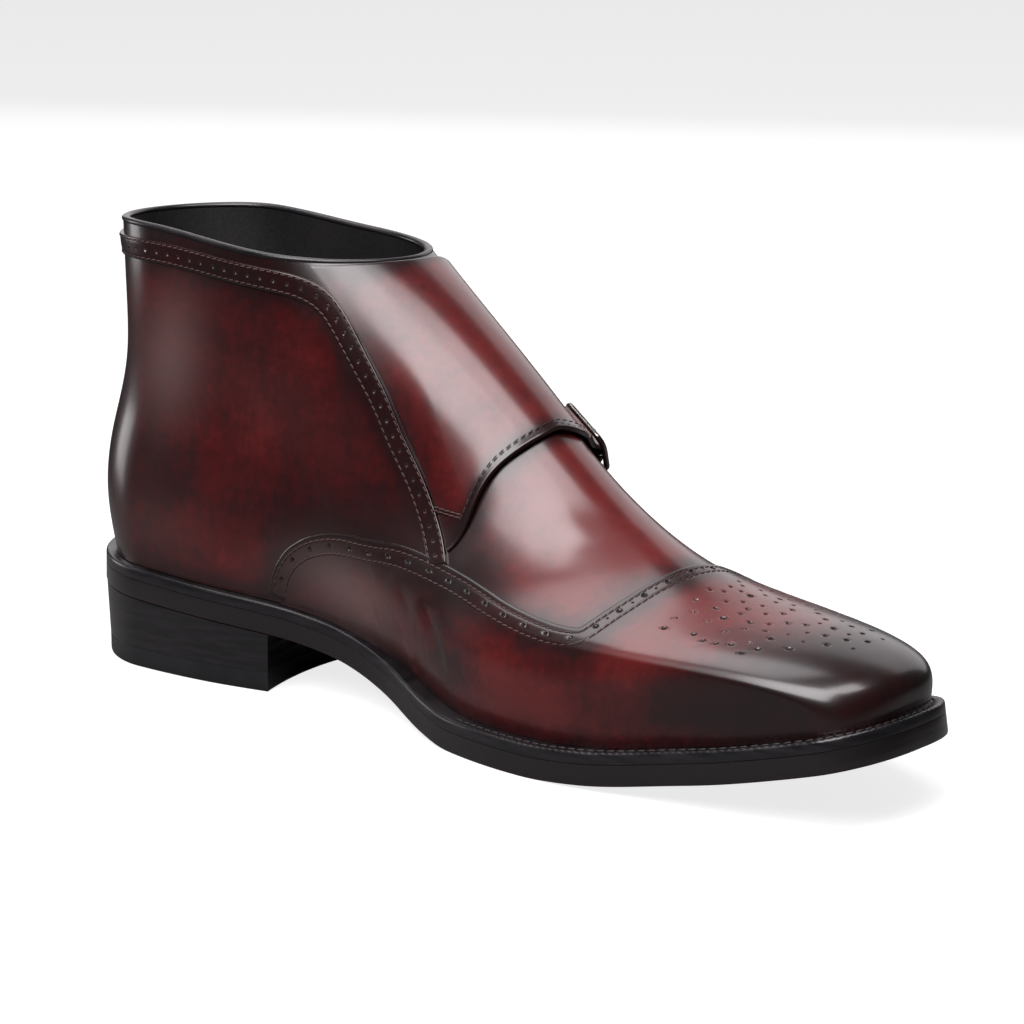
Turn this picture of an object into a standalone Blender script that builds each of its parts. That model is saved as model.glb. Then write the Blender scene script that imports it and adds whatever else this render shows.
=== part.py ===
"""Double monk strap boot, left foot, at its real size.

Lengths are millimetres in this file and metres in the meshes. The toe points to -Y, +Z is up, and +X is the
outer (lateral) side, where the buckles sit. A station is the distance from the back of the outsole towards
the toe. The upper is one function of two numbers: around, an angle that starts at the back of the heel and
turns past the lateral side, the toe and the medial side, and height, 0 at the welt and 1 at the collar.
"""
from math import pi

import bmesh
import bpy
import numpy as np

MM = 0.001
GAP = 0.3

# Sole (mm)
SOLE_LENGTH = 306.0
OUTSOLE_THICK = 6.2
WELT_THICK = 3.2
WELT_WIDTH_UNDER = 9.0
TOP_LIFT_THICK = 6.0
HEEL_TAPER = 0.7
BREAST_AROUND = {"lateral": 0.345 * pi, "medial": 0.353 * pi}
BREAST_HOLLOW = 6.0
EDGE_THICK = OUTSOLE_THICK + GAP + WELT_THICK
EDGE_LEAN = 0.55

# Upper (mm)
WALL = 2.0
LINING_LEVEL_BELOW = 0.08
LINING_LEVEL_ABOVE = 0.95
TOE_SKEW = 0.28
TOE_SKEW_ENDS = 0.30
INSOLE_THICK = 3.0
INSOLE_CLEARANCE = 0.5

# Flap, straps and buckles (mm); heights are above the upper's outer face
LEATHER = 1.6
STRAP_HALF_WIDTH = 7.5
STRAP_ROOT = -9.0
STRAP_TIP_LENGTH = 9.0
STRAP_TIP_HALF_WIDTH = 1.2
WEAVE_REACH = 5.8
FRAME_HALF_LENGTH = 8.0
FRAME_HALF_WIDTH = 10.2
BAR = 1.9
FRAME_LOW = 3.5
FRAME_THICK = 1.8
CENTRE_BAR_DROP = 1.3
CHAPE_END = 17.0
CHAPE_HALF_WIDTH = 6.0
CHAPE_THICK = 1.0
PRONG_HALF_WIDTH = 0.8
PRONG_THICK = 1.3
PRONG_PAST_BAR = 0.6

# The bounding box is centred on X and Y: widest points each side, and the ends past the sole's own length
WIDEST_LATERAL = 59.3
WIDEST_MEDIAL = 46.4
PAST_TOE = 1.9
PAST_HEEL = 2.7
CENTRE_X = (WIDEST_LATERAL - WIDEST_MEDIAL) / 2
CENTRE_Y = (SOLE_LENGTH + PAST_TOE - PAST_HEEL) / 2

# Facets
COLUMNS = 72
SOLE_COLUMNS = 144
ROWS = 20
ROW_CROWDING = 1.3
STRAP_STEP = 1.75
TIP_ROWS = 6


class Table:
    """Rows of numbers under named columns; the first column says where each row is."""

    def __init__(self, columns, rows):
        self.columns = columns.split()
        self.rows = np.array(rows, dtype=float)

    def column(self, name):
        return self.rows[:, self.columns.index(name)]

    def smooth(self, name, at):
        """Natural cubic spline through the column."""
        return spline_weights(self.rows[:, 0], at) @ self.column(name)

    def level(self, name, at):
        """Hermite curve through the column that never swings past its rows, so flat stretches stay flat."""
        knots, values = self.rows[:, 0], self.column(name)
        step = np.diff(knots)
        rise = np.diff(values) / step
        slope = np.zeros(len(knots))
        same_way = rise[:-1] * rise[1:] > 0
        total = np.where(same_way, rise[:-1] + rise[1:], 1.0)
        slope[1:-1] = np.where(same_way, 2 * rise[:-1] * rise[1:] / total, 0.0)
        slope[0], slope[-1] = rise[0], rise[-1]
        at = np.clip(at, knots[0], knots[-1])
        k = np.clip(np.searchsorted(knots, at, side="right") - 1, 0, len(step) - 1)
        f = (at - knots[k]) / step[k]
        start = (1 + 2 * f) * (1 - f) ** 2 * values[k] + f * (1 - f) ** 2 * step[k] * slope[k]
        end = f * f * (3 - 2 * f) * values[k + 1] - f * f * (1 - f) * step[k] * slope[k + 1]
        return start + end


def spline_weights(knots, at):
    """Weight of each knot's value in the natural cubic spline at the places 'at'."""
    count = len(knots)
    step = np.diff(knots)
    bend = np.eye(count)
    pull = np.zeros((count, count))
    for i in range(1, count - 1):
        bend[i, i - 1:i + 2] = step[i - 1], 2 * (step[i - 1] + step[i]), step[i]
        pull[i, i - 1:i + 2] = 6 / step[i - 1], -6 / step[i - 1] - 6 / step[i], 6 / step[i]
    curvature = np.linalg.solve(bend, pull)
    at = np.clip(at, knots[0], knots[-1])
    k = np.clip(np.searchsorted(knots, at, side="right") - 1, 0, count - 2)
    b = ((at - knots[k]) / step[k])[..., None]
    a = 1 - b
    size = (step[k] ** 2 / 6)[..., None]
    chord = a * np.eye(count)[k] + b * np.eye(count)[k + 1]
    return chord + ((a ** 3 - a) * curvature[k] + (b ** 3 - b) * curvature[k + 1]) * size


# Half widths of the outsole's edge, each side of the straight line from heel to toe
OUTLINE = Table("station lateral medial", [
    [0, 29.5, 35.0],
    [35, 38.0, 36.8],
    [70, 40.6, 34.4],
    [100, 42.0, 28.6],
    [135, 51.6, 29.9],
    [165, 59.2, 40.7],
    [190, 58.4, 46.1],
    [215, 52.9, 46.3],
    [240, 43.7, 43.0],
    [265, 34.0, 40.6],
    [285, 25.0, 37.2],
    [306, 19.7, 34.7]])

# How far the sole stands out past the upper, from heel to toe
EDGE_MARGIN = Table("station margin", [
    [0, 3.4],
    [105, 3.4],
    [155, 6.6],
    [240, 6.6],
    [300, 4.6]])

# Underside of the outsole: heel pitch, shank, flat tread under the ball and toe spring
BOTTOM = Table("station level", [
    [0, 24.4],
    [84, 18.6],
    [108, 15.0],
    [136, 7.3],
    [156, 1.7],
    [169, 0.0],
    [199, 0.0],
    [218, 1.0],
    [253, 6.9],
    [282, 13.5],
    [306, 20.2],
    [310, 21.3]])

# Front edge of the upper in side view, from the toe over the instep to the collar
RIDGE = Table("height station level roundness fullness", [
    [0.00, 301.8, 29.3, 17, 2.8],
    [0.07, 302.0, 36.5, 20, 2.5],
    [0.15, 297.0, 41.5, 26, 2.4],
    [0.25, 282.0, 45.6, 45, 2.2],
    [0.37, 257.0, 48.5, 80, 2.1],
    [0.50, 226.0, 55.2, 110, 2.0],
    [0.63, 192.0, 72.0, 105, 2.0],
    [0.76, 160.0, 98.6, 85, 2.0],
    [0.88, 133.0, 121.0, 60, 2.0],
    [1.00, 116.0, 133.5, 42, 2.0]])

# Back of the upper in side view
BACK = Table("height station level roundness", [
    [0.00, 3.2, 34.4, 31],
    [0.20, -2.0, 52.0, 32],
    [0.40, -1.6, 72.0, 32],
    [0.65, 6.0, 98.0, 31],
    [1.00, 6.5, 139.0, 30]])

# Half widths of the upper at four heights above the insole's seat, and how far the last leans sideways
SECTIONS = Table("station at_20 at_45 at_80 at_125 lean", [
    [0, 30.5, 28.0, 29.5, 26.0, 1.0],
    [40, 33.5, 30.0, 31.0, 27.5, 2.5],
    [80, 33.5, 30.3, 32.0, 29.5, 4.5],
    [115, 34.3, 31.5, 33.5, 30.0, 5.0],
    [150, 41.0, 35.0, 36.0, 29.0, 5.0],
    [185, 46.5, 38.0, 37.0, 29.0, 4.0],
    [215, 43.6, 36.4, 36.0, 29.0, 1.2],
    [245, 37.0, 31.2, 32.0, 27.0, -1.7],
    [275, 30.5, 25.0, 28.0, 24.0, -3.9],
    [306, 24.5, 19.0, 22.0, 20.0, -4.8]])

# Share of the sole's own centre line and of the lean at each of those heights
SWAY = Table("height plan lean", [
    [0, 1.00, 0.00],
    [20, 0.31, 0.69],
    [45, 0.00, 1.00],
    [80, 0.00, 0.74],
    [125, 0.00, 0.40]])

# Rise of the collar above the straight line from its back to its front
COLLAR = Table("forward rise", [[0.0, 0.0], [0.25, 1.8], [0.5, 0.5], [0.75, -0.6], [1.0, 0.0]])

# The flap's edges on the upper, where 'turn' is around / pi; its fourth edge runs between the straps' roots
FLAP_BACK = Table("share turn height", [
    [0.00, 1.265, 0.985],
    [0.25, 1.270, 0.870],
    [0.50, 1.290, 0.755],
    [0.75, 1.325, 0.635],
    [1.00, 1.365, 0.515]])
FLAP_TOP = Table("share turn height", [
    [0.00, 1.265, 0.985],
    [0.50, 0.970, 0.985],
    [0.72, 0.850, 0.965]])
FLAP_FRONT = Table("share turn height", [
    [0.00, 1.365, 0.515],
    [0.18, 1.253, 0.633],
    [0.36, 1.150, 0.685],
    [0.60, 1.044, 0.705],
    [0.80, 0.980, 0.705]])
FLAP_SIDE_HOLLOW = (0.745, 0.752)

# Middle line of each strap from the flap to its tip; 'reach' is the distance along it from the buckle's bar
STRAP_ROUTES = {
    "rear": Table("reach turn height", [
        [-12.0, 0.694, 0.850],
        [0.0, 0.615, 0.796],
        [18.0, 0.505, 0.714],
        [38.0, 0.400, 0.634]]),
    "front": Table("reach turn height", [
        [-12.0, 0.872, 0.714],
        [0.0, 0.772, 0.668],
        [12.0, 0.700, 0.610],
        [22.0, 0.648, 0.556]])}
STRAP_END = {"rear": 38.0, "front": 21.0}

# Height of the strap's under face on its way under the frame's long bars and over the centre bar
STRAP_LIFT = Table("reach lift", [
    [-12.0, 0.3],
    [-8.5, 1.5],
    [-WEAVE_REACH, 1.5],
    [-WEAVE_REACH / 5, 4.4],
    [WEAVE_REACH / 5, 4.4],
    [WEAVE_REACH, 1.5],
    [9.0, 1.5],
    [17.0, 1.6],
    [40.0, 2.0]])

MATERIALS = {
    "burgundy": ((0.16, 0.012, 0.016), 0.25, 0.0),
    "dark_burgundy": ((0.06, 0.008, 0.010), 0.3, 0.0),
    "black_edge": ((0.012, 0.011, 0.011), 0.35, 0.0),
    "black_rubber": ((0.02, 0.02, 0.02), 0.7, 0.0),
    "tan_leather": ((0.30, 0.17, 0.09), 0.6, 0.0),
    "dark_nickel": ((0.30, 0.28, 0.27), 0.3, 1.0)}


def bottom(station):
    return BOTTOM.level("level", station)


def seat(station):
    """Level at which the upper meets the welt."""
    return bottom(station) + EDGE_THICK + GAP


def edge_margin(station):
    return EDGE_MARGIN.level("margin", station)


def coons(u, v, low, high, left, right):
    """Surface patch between four curves: low and high run along u, left and right along v."""
    u, v = u[..., None], v[..., None]
    corners = (1 - u) * ((1 - v) * left(0.0) + v * left(1.0)) + u * ((1 - v) * right(0.0) + v * right(1.0))
    across = (1 - u) * left(v[..., 0]) + u * right(v[..., 0])
    along = (1 - v) * low(u[..., 0]) + v * high(u[..., 0])
    return across + along - corners


def curve(table, *names):
    """The named columns of a table as one curve."""
    return lambda at: np.stack([table.smooth(name, np.asarray(at, dtype=float)) for name in names], axis=-1)


def seat_line(forward):
    back, front = BACK.column("station")[0], RIDGE.column("station")[0]
    station = back + (front - back) * forward
    return np.stack([station, seat(station)], axis=-1)


def collar_line(forward):
    back = BACK.rows[-1, 1:3]
    front = RIDGE.rows[-1, 1:3]
    line = back + (front - back) * forward[..., None]
    line[..., 1] += COLLAR.smooth("rise", forward)
    return line


def upper_surface(around, height):
    """Outer face of the upper.

    In side view a Coons patch between the seat, the collar, the back and the ridge gives station and level.
    The half width there comes from the sections, and both ends are rounded off by superellipses.
    """
    around, height = np.broadcast_arrays(np.asarray(around, dtype=float), np.asarray(height, dtype=float))
    forward = (1 - np.cos(around)) / 2
    side = np.where(np.sin(around) >= 0, 1.0, -1.0)
    net = coons(forward, height, seat_line, collar_line,
                curve(BACK, "station", "level"), curve(RIDGE, "station", "level"))
    station, level = net[..., 0], net[..., 1]
    lateral = OUTLINE.smooth("lateral", station) - edge_margin(station)
    medial = OUTLINE.smooth("medial", station) - edge_margin(station)
    names = ("at_20", "at_45", "at_80", "at_125")
    widths = [(lateral + medial) / 2] + [SECTIONS.smooth(name, station) for name in names]
    above = level - seat(station)
    shares = spline_weights(SWAY.rows[:, 0], above)
    half_width = np.sum(shares * np.stack(widths, axis=-1), axis=-1)
    centre = (shares @ SWAY.column("plan")) * (lateral - medial) / 2
    centre = centre + (shares @ SWAY.column("lean")) * SECTIONS.smooth("lean", station)
    skew = 1 + TOE_SKEW * side * np.clip(1 - height / TOE_SKEW_ENDS, 0, 1)
    to_front = (RIDGE.smooth("station", height) - station) / (RIDGE.smooth("roundness", height) * skew)
    to_back = (station - BACK.smooth("station", height)) / BACK.smooth("roundness", height)
    front = (1 - (1 - np.clip(to_front, 0, 1)) ** 2) ** (1 / RIDGE.smooth("fullness", height))
    back = (1 - (1 - np.clip(to_back, 0, 1)) ** 2) ** 0.5
    x = centre + side * half_width * front * back - CENTRE_X
    return np.stack([x, CENTRE_Y - station, level], axis=-1)


def unit(vectors):
    return vectors / np.linalg.norm(vectors, axis=-1, keepdims=True)


def upper_slopes(around, height):
    """How the surface moves for one radian around and for one unit of height."""
    step = 1e-3
    above, below = np.minimum(height + step, 1.0), np.maximum(height - step, 0.0)
    turn = (upper_surface(around + step, height) - upper_surface(around - step, height)) / (2 * step)
    rise = (upper_surface(around, above) - upper_surface(around, below)) / (above - below)[..., None]
    return turn, rise


def upper_skin(around, height, lift):
    """Points 'lift' mm outside the outer face."""
    turn, rise = upper_slopes(around, height)
    return upper_surface(around, height) + unit(np.cross(rise, turn)) * lift[..., None]


def lining_surface(around, height):
    """Inner face of the wall; level with the outer face at both rims."""
    turn, rise = upper_slopes(around, height)
    normal = unit(np.cross(rise, turn))
    inward = np.minimum(height / LINING_LEVEL_BELOW, (1 - height) / (1 - LINING_LEVEL_ABOVE))
    normal[..., 2] *= np.clip(inward, 0, 1)
    return upper_surface(around, height) - unit(normal) * WALL


def plan_loop(around, outward):
    """Loop around the seat line, moved outward by so many mm in plan; its level is left at zero."""
    loop = upper_surface(around, 0.0)
    turn, _ = upper_slopes(around, np.zeros_like(around))
    normal = unit(np.stack([-turn[..., 1], turn[..., 0], np.zeros_like(around)], axis=-1))
    return (loop + normal * np.asarray(outward)[..., None]) * (1, 1, 0)


def sole_edge(around):
    """Outer edge of outsole and welt in plan."""
    station = CENTRE_Y - upper_surface(around, 0.0)[..., 1]
    return plan_loop(around, edge_margin(station))


def raised(loop, above_bottom):
    """A plan loop lifted above the outsole's underside; the edge leans forward where the toe springs."""
    station = CENTRE_Y - loop[..., 1]
    spring = (bottom(station + 1) - bottom(station - 1)) / 2
    station = station + EDGE_LEAN * spring * (EDGE_THICK - above_bottom)
    return np.stack([loop[..., 0], CENTRE_Y - station, bottom(station) + above_bottom], axis=-1)


def ladder(count):
    """Faces across a loop, from its lateral to its medial half, facing down."""
    half = count // 2
    rungs = [(k, k + 1, count - k - 1, count - k) for k in range(1, half - 1)]
    return [(0, 1, count - 1)] + rungs + [(half - 1, half, half + 1)]


def make_object(name, points, faces, material):
    """A smooth-shaded object from points in mm, with collapsed edges merged."""
    mesh = bpy.data.meshes.new(name)
    mesh.from_pydata((np.asarray(points) * MM).tolist(), [], faces)
    shape = bmesh.new()
    shape.from_mesh(mesh)
    bmesh.ops.remove_doubles(shape, verts=shape.verts, dist=1e-7)
    shape.to_mesh(mesh)
    shape.free()
    mesh.shade_smooth()
    mesh.set_sharp_from_angle(angle=0.6)
    mesh.materials.append(material)
    obj = bpy.data.objects.new(name, mesh)
    bpy.context.scene.collection.objects.link(obj)
    return obj


def loft(name, loops, material, closed=False):
    """Solid through loops of equal count, listed up the outside; closed joins the last to the first."""
    count = len(loops[0])
    bands = len(loops) if closed else len(loops) - 1
    faces = []
    for i in range(bands):
        low, high = i * count, (i + 1) % len(loops) * count
        faces += [(low + k, high + k, high + (k + 1) % count, low + (k + 1) % count) for k in range(count)]
    if not closed:
        top = (len(loops) - 1) * count
        faces += ladder(count)
        faces += [tuple(top + k for k in reversed(face)) for face in ladder(count)]
    return make_object(name, np.concatenate(loops), faces, material)


def sheet(name, outer, inner, material, missing=()):
    """Solid between two grids of points; 'missing' names the cells that are left open."""
    rows, columns = outer.shape[:2]
    cells = [(i, j) for i in range(rows - 1) for j in range(columns - 1) if (i, j) not in missing]
    corner = np.arange(rows * columns).reshape(rows, columns).tolist()
    skin = [(corner[i][j], corner[i + 1][j], corner[i + 1][j + 1], corner[i][j + 1]) for i, j in cells]
    edges = {(face[k], face[(k + 1) % 4]) for face in skin for k in range(4)}
    rim = [(a, b) for a, b in sorted(edges) if (b, a) not in edges]
    under = rows * columns
    faces = skin + [tuple(under + k for k in reversed(face)) for face in skin]
    faces += [(b, a, under + a, under + b) for a, b in rim]
    points = np.concatenate([outer.reshape(-1, 3), inner.reshape(-1, 3)])
    return make_object(name, points, faces, material)


def make_upper(material):
    around = np.arange(COLUMNS) * 2 * pi / COLUMNS
    heights = np.linspace(0, 1, ROWS) ** ROW_CROWDING
    outside = [upper_surface(around, np.full(COLUMNS, height)) for height in heights]
    inside = [lining_surface(around, np.full(COLUMNS, height)) for height in heights[::-1]]
    return loft("upper", outside + inside, material, closed=True)


def make_sole(materials):
    """Outsole, welt ring and insole, stacked on the same plan loops."""
    around = np.arange(SOLE_COLUMNS) * 2 * pi / SOLE_COLUMNS
    edge = sole_edge(around)
    welt_low = OUTSOLE_THICK + GAP
    welt_top = welt_low + WELT_THICK
    loft("outsole", [raised(edge, 0.0), raised(edge, OUTSOLE_THICK)], materials["dark_burgundy"])
    hole = plan_loop(around, np.full(SOLE_COLUMNS, -WELT_WIDTH_UNDER))
    ring = [raised(edge, welt_low), raised(edge, welt_top), raised(hole, welt_top), raised(hole, welt_low)]
    loft("welt", ring, materials["black_edge"], closed=True)
    rim = plan_loop(around, np.full(SOLE_COLUMNS, -WALL - INSOLE_CLEARANCE))
    core = plan_loop(around, np.full(SOLE_COLUMNS, -WELT_WIDTH_UNDER - INSOLE_CLEARANCE))
    flange_low = welt_top + GAP
    steps = [raised(core, welt_low), raised(core, flange_low), raised(rim, flange_low),
             raised(rim, flange_low + INSOLE_THICK)]
    loft("insole", steps, materials["tan_leather"])


def heel_grid(rows=15, columns=5, taper=0.0):
    """Plan of the heel from its round back to its hollow breast, as a grid."""
    back_to_breast, across = np.meshgrid(np.linspace(0, 1, rows), np.linspace(0, 1, columns), indexing="ij")
    lateral = sole_edge(back_to_breast * BREAST_AROUND["lateral"])
    medial = sole_edge(2 * pi - back_to_breast * BREAST_AROUND["medial"])
    grid = medial + (lateral - medial) * across[..., None]
    grid[..., 1] += BREAST_HOLLOW * back_to_breast ** 3 * (1 - (2 * across - 1) ** 2)
    middle = grid.mean(axis=(0, 1))
    reach = np.linalg.norm(grid - middle, axis=-1, keepdims=True)
    return grid - (grid - middle) / reach * taper


def make_heel(materials):
    """Stacked heel under the outsole, and the top lift that stands on the ground."""
    top = heel_grid()
    top[..., 2] = bottom(CENTRE_Y - top[..., 1]) - GAP
    foot = heel_grid(taper=HEEL_TAPER)
    foot[..., 2] = TOP_LIFT_THICK + GAP
    lift_top, lift_foot = foot.copy(), foot.copy()
    lift_top[..., 2] = TOP_LIFT_THICK
    lift_foot[..., 2] = 0.0
    sheet("heel_stack", top, foot, materials["black_edge"])
    sheet("top_lift", lift_top, lift_foot, materials["black_rubber"])


def strap_root(which, side):
    """Corner where one side of a strap leaves the flap, as turn and height."""
    around, height = strap_place(STRAP_ROUTES[which], np.array(STRAP_ROOT), np.array(side * STRAP_HALF_WIDTH))
    return np.array([around / pi, height])


def flap_edge(table, corner):
    """An edge of the flap that ends at a strap's root."""
    return curve(Table("share turn height", table.rows.tolist() + [[1.0, *corner]]), "turn", "height")


def flap_place(across, down):
    """Place on the upper of a spot on the flap, across from its perforated edge and down from the collar."""
    side = np.array([strap_root("rear", 1), strap_root("rear", -1), FLAP_SIDE_HOLLOW,
                     strap_root("front", 1), strap_root("front", -1)])
    shares = np.linspace(0, 1, len(side))

    def side_edge(at):
        return np.stack([np.interp(at, shares, side[:, 0]), np.interp(at, shares, side[:, 1])], axis=-1)

    place = coons(across, down, flap_edge(FLAP_TOP, side[0]), flap_edge(FLAP_FRONT, side[-1]),
                  curve(FLAP_BACK, "turn", "height"), side_edge)
    return place[..., 0] * pi, place[..., 1]


def make_flap(material, rows=13, columns=26):
    """Medial flap that wraps over the instep; its four edges are curves on the upper."""
    down, across = np.meshgrid(np.linspace(0, 1, rows), np.linspace(0, 1, columns), indexing="ij")
    around, height = flap_place(across, down)
    inner = upper_skin(around, height, np.full(around.shape, GAP))
    outer = upper_skin(around, height, np.full(around.shape, GAP + LEATHER))
    return sheet("monk_flap", outer, inner, material)


def strap_place(route, reach, across):
    """Place on the upper 'reach' mm along a strap's middle line and 'across' mm to its side."""
    step = 0.5
    turn = route.smooth("turn", reach) * pi
    height = route.smooth("height", reach)
    ahead = upper_surface(route.smooth("turn", reach + step) * pi, route.smooth("height", reach + step))
    behind = upper_surface(route.smooth("turn", reach - step) * pi, route.smooth("height", reach - step))
    around_slope, height_slope = upper_slopes(turn, height)
    normal = unit(np.cross(height_slope, around_slope))
    sideways = unit(np.cross(normal, ahead - behind)) * across[..., None]
    slopes = np.stack([around_slope, height_slope], axis=-1)
    shift = np.linalg.pinv(slopes) @ sideways[..., None]
    return turn + shift[..., 0, 0], height + shift[..., 1, 0]


def strap_sheet(name, route, reaches, widths, low, thick, material, missing=()):
    """A strip along a strap, over places along and across it; low is its under face, thick its thickness."""
    reach, across = np.broadcast_arrays(np.asarray(reaches, dtype=float)[:, None], widths)
    around, height = strap_place(route, reach, across)
    under = low(reach)
    inner = upper_skin(around, height, under)
    outer = upper_skin(around, height, under + thick(reach))
    return sheet(name, outer, inner, material, missing)


def strap_under(reach):
    return STRAP_LIFT.level("lift", reach)


def frame_under(reach):
    """Under face of a buckle's frame, lower at its centre bar."""
    return FRAME_LOW - CENTRE_BAR_DROP * (np.abs(reach) < BAR)


def prong_under(reach):
    """The prong rests on the strap over the centre bar and on the frame's far bar."""
    on_strap = strap_under(0.0) + LEATHER + GAP
    on_bar = FRAME_LOW + FRAME_THICK + GAP
    return on_strap + (on_bar - on_strap) * np.clip(reach / (FRAME_HALF_LENGTH - BAR), 0, 1)


def chape_thick(reach):
    """The chape is doubled where it wraps the centre bar."""
    pad = FRAME_LOW - CENTRE_BAR_DROP - 2 * GAP - CHAPE_THICK
    return CHAPE_THICK + pad * (np.abs(reach) < 2 * BAR)


def even(value):
    return lambda reach: np.full(np.shape(reach), value)


def make_strap(which, material):
    """Strap with a rounded point, woven through its buckle."""
    route, end = STRAP_ROUTES[which], STRAP_END[which]
    tip_starts = end - STRAP_TIP_LENGTH
    reach = np.concatenate([
        np.linspace(STRAP_ROOT + GAP, -WEAVE_REACH, 3)[:-1],
        np.linspace(-WEAVE_REACH, WEAVE_REACH, 6),
        np.arange(WEAVE_REACH + STRAP_STEP, tip_starts, STRAP_STEP),
        tip_starts + STRAP_TIP_LENGTH * (1 - np.linspace(1, 0, TIP_ROWS) ** 2)])
    to_tip = np.clip((end - reach) / STRAP_TIP_LENGTH, 0, 1)
    half = STRAP_TIP_HALF_WIDTH + (STRAP_HALF_WIDTH - STRAP_TIP_HALF_WIDTH) * np.sin(to_tip * pi / 2) ** 0.8
    widths = half[:, None] * np.linspace(-1, 1, 5)
    return strap_sheet("strap_" + which, route, reach, widths, strap_under, even(LEATHER), material)


def make_buckle(which, metal, leather):
    """Frame with a dropped centre bar, the prong that lies on the strap, and the leather chape beneath."""
    route = STRAP_ROUTES[which]
    bars = np.array([FRAME_HALF_LENGTH, FRAME_HALF_LENGTH - BAR, BAR / 2])
    sides = np.array([FRAME_HALF_WIDTH, FRAME_HALF_WIDTH - BAR, FRAME_HALF_WIDTH / 2 - BAR])
    windows = {(row, column) for row in (1, 3) for column in (1, 2, 3, 4)}
    along = np.append(-bars, bars[::-1])
    across = np.concatenate([-sides, [0], sides[::-1]])
    strap_sheet("buckle_" + which, route, along, across, frame_under, even(FRAME_THICK), metal, windows)
    strap_sheet("prong_" + which, route, np.linspace(-BAR, FRAME_HALF_LENGTH + PRONG_PAST_BAR, 7),
                np.array([-PRONG_HALF_WIDTH, PRONG_HALF_WIDTH]), prong_under, even(PRONG_THICK), metal)
    strap_sheet("chape_" + which, route, np.linspace(-BAR, CHAPE_END, 9),
                np.linspace(-CHAPE_HALF_WIDTH, CHAPE_HALF_WIDTH, 4), even(GAP), chape_thick, leather)


def make_material(name, colour, roughness, metallic):
    material = bpy.data.materials.new(name)
    material.use_nodes = True
    shader = material.node_tree.nodes["Principled BSDF"]
    shader.inputs["Base Color"].default_value = (*colour, 1.0)
    shader.inputs["Roughness"].default_value = roughness
    shader.inputs["Metallic"].default_value = metallic
    return material


def main():
    for old in list(bpy.data.objects):
        bpy.data.objects.remove(old)
    materials = {name: make_material(name, *finish) for name, finish in MATERIALS.items()}
    make_sole(materials)
    make_heel(materials)
    make_upper(materials["burgundy"])
    make_flap(materials["burgundy"])
    for which in STRAP_ROUTES:
        make_strap(which, materials["dark_burgundy"])
        make_buckle(which, materials["dark_nickel"], materials["dark_burgundy"])


main()
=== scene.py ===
"""Double monk strap boot, left foot: leather, perforations, stitching, buckles, sole, light and camera.

Lengths are millimetres here and metres in the meshes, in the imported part's own frame: the toe points to -Y,
+Z is up and +X is the outer (lateral) side. A station is the distance from the back of the outsole towards
the toe. The upper is one function of around, an angle that starts at the back of the heel and turns past
the lateral side, the toe and the medial side, and height, 0 at the welt and 1 at the collar. A turn is
around / pi.
"""
from math import pi

import bmesh
import bpy
import numpy as np
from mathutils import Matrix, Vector


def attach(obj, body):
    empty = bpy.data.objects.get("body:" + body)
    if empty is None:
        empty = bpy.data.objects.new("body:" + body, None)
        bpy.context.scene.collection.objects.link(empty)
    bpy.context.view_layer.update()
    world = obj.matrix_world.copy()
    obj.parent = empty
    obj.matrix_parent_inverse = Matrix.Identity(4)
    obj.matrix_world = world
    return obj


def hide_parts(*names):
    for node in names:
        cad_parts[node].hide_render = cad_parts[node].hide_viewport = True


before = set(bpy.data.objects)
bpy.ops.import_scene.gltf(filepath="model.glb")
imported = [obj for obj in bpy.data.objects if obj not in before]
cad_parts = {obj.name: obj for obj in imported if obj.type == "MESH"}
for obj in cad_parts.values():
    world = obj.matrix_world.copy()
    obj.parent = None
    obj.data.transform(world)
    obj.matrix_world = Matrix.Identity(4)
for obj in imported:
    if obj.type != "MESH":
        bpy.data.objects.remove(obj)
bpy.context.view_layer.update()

MM = 0.001
GAP = 0.3

# Sole (mm)
OUTSOLE_THICK = 6.2
WELT_THICK = 3.2
WELT_WIDTH_UNDER = 9.0
TOP_LIFT_THICK = 6.0
BREAST_AROUND = {"lateral": 0.345 * pi, "medial": 0.353 * pi}
BREAST_HOLLOW = 6.0
HEEL_INSET = 0.7
HEEL_MIDDLE = 6.0
EDGE_THICK = OUTSOLE_THICK + GAP + WELT_THICK
EDGE_LEAN = 0.55

# Upper (mm)
WALL = 2.0
OUTER_LEATHER = 1.2
TOE_SKEW = 0.28
TOE_SKEW_ENDS = 0.30

# Flap, straps and buckles (mm); heights are above the upper's outer face
LEATHER = 1.6
STRAP_HALF_WIDTH = 7.5
STRAP_ROOT = -9.0
STRAP_TIP_LENGTH = 9.0
WEAVE_REACH = 5.8
FRAME_HALF_LENGTH = 8.0
FRAME_HALF_WIDTH = 10.2
FRAME_CORNER = 2.4
BAR = 1.9
FRAME_LOW = 3.5
FRAME_THICK = 1.8
CENTRE_BAR_DROP = 1.3
CHAPE_END = 17.0
CHAPE_HALF_WIDTH = 6.0
CHAPE_THICK = 1.0
TUBE_SIDES = 12
FRAME_RINGS = 120

# Stitches (mm)
STITCH_LENGTH = 2.1
STITCH_SLANT = 0.12
CAPSULE_RINGS = 6
CAPSULE_SIDES = 6
EDGE_PLACES = 4000

# Punched holes (mm): sides of a cup, radius and level of its floor's middle, how far its hidden back stands
# out past the radius and its level, how far round it the leather's bend is fitted, how far the leather is
# pushed in under it, and how close a point lies to a rim when it is moved onto it
HOLE_SIDES = 10
CUP_MIDDLE = (0.02, -0.37)
CUP_BACK = (0.30, -0.45)
BEND_REACH = 2.6
WELL_DEPTH = 0.52
WELL_MARGIN = 0.12
RIM_REACH = 0.24

# Perforated bands (mm)
BAND_LIFT = 0.85
WING_HOLE_STEP = 8.6
COLLAR_BAND_HALF = 3.3
COLLAR_HOLE_STEP = 4.9

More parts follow.
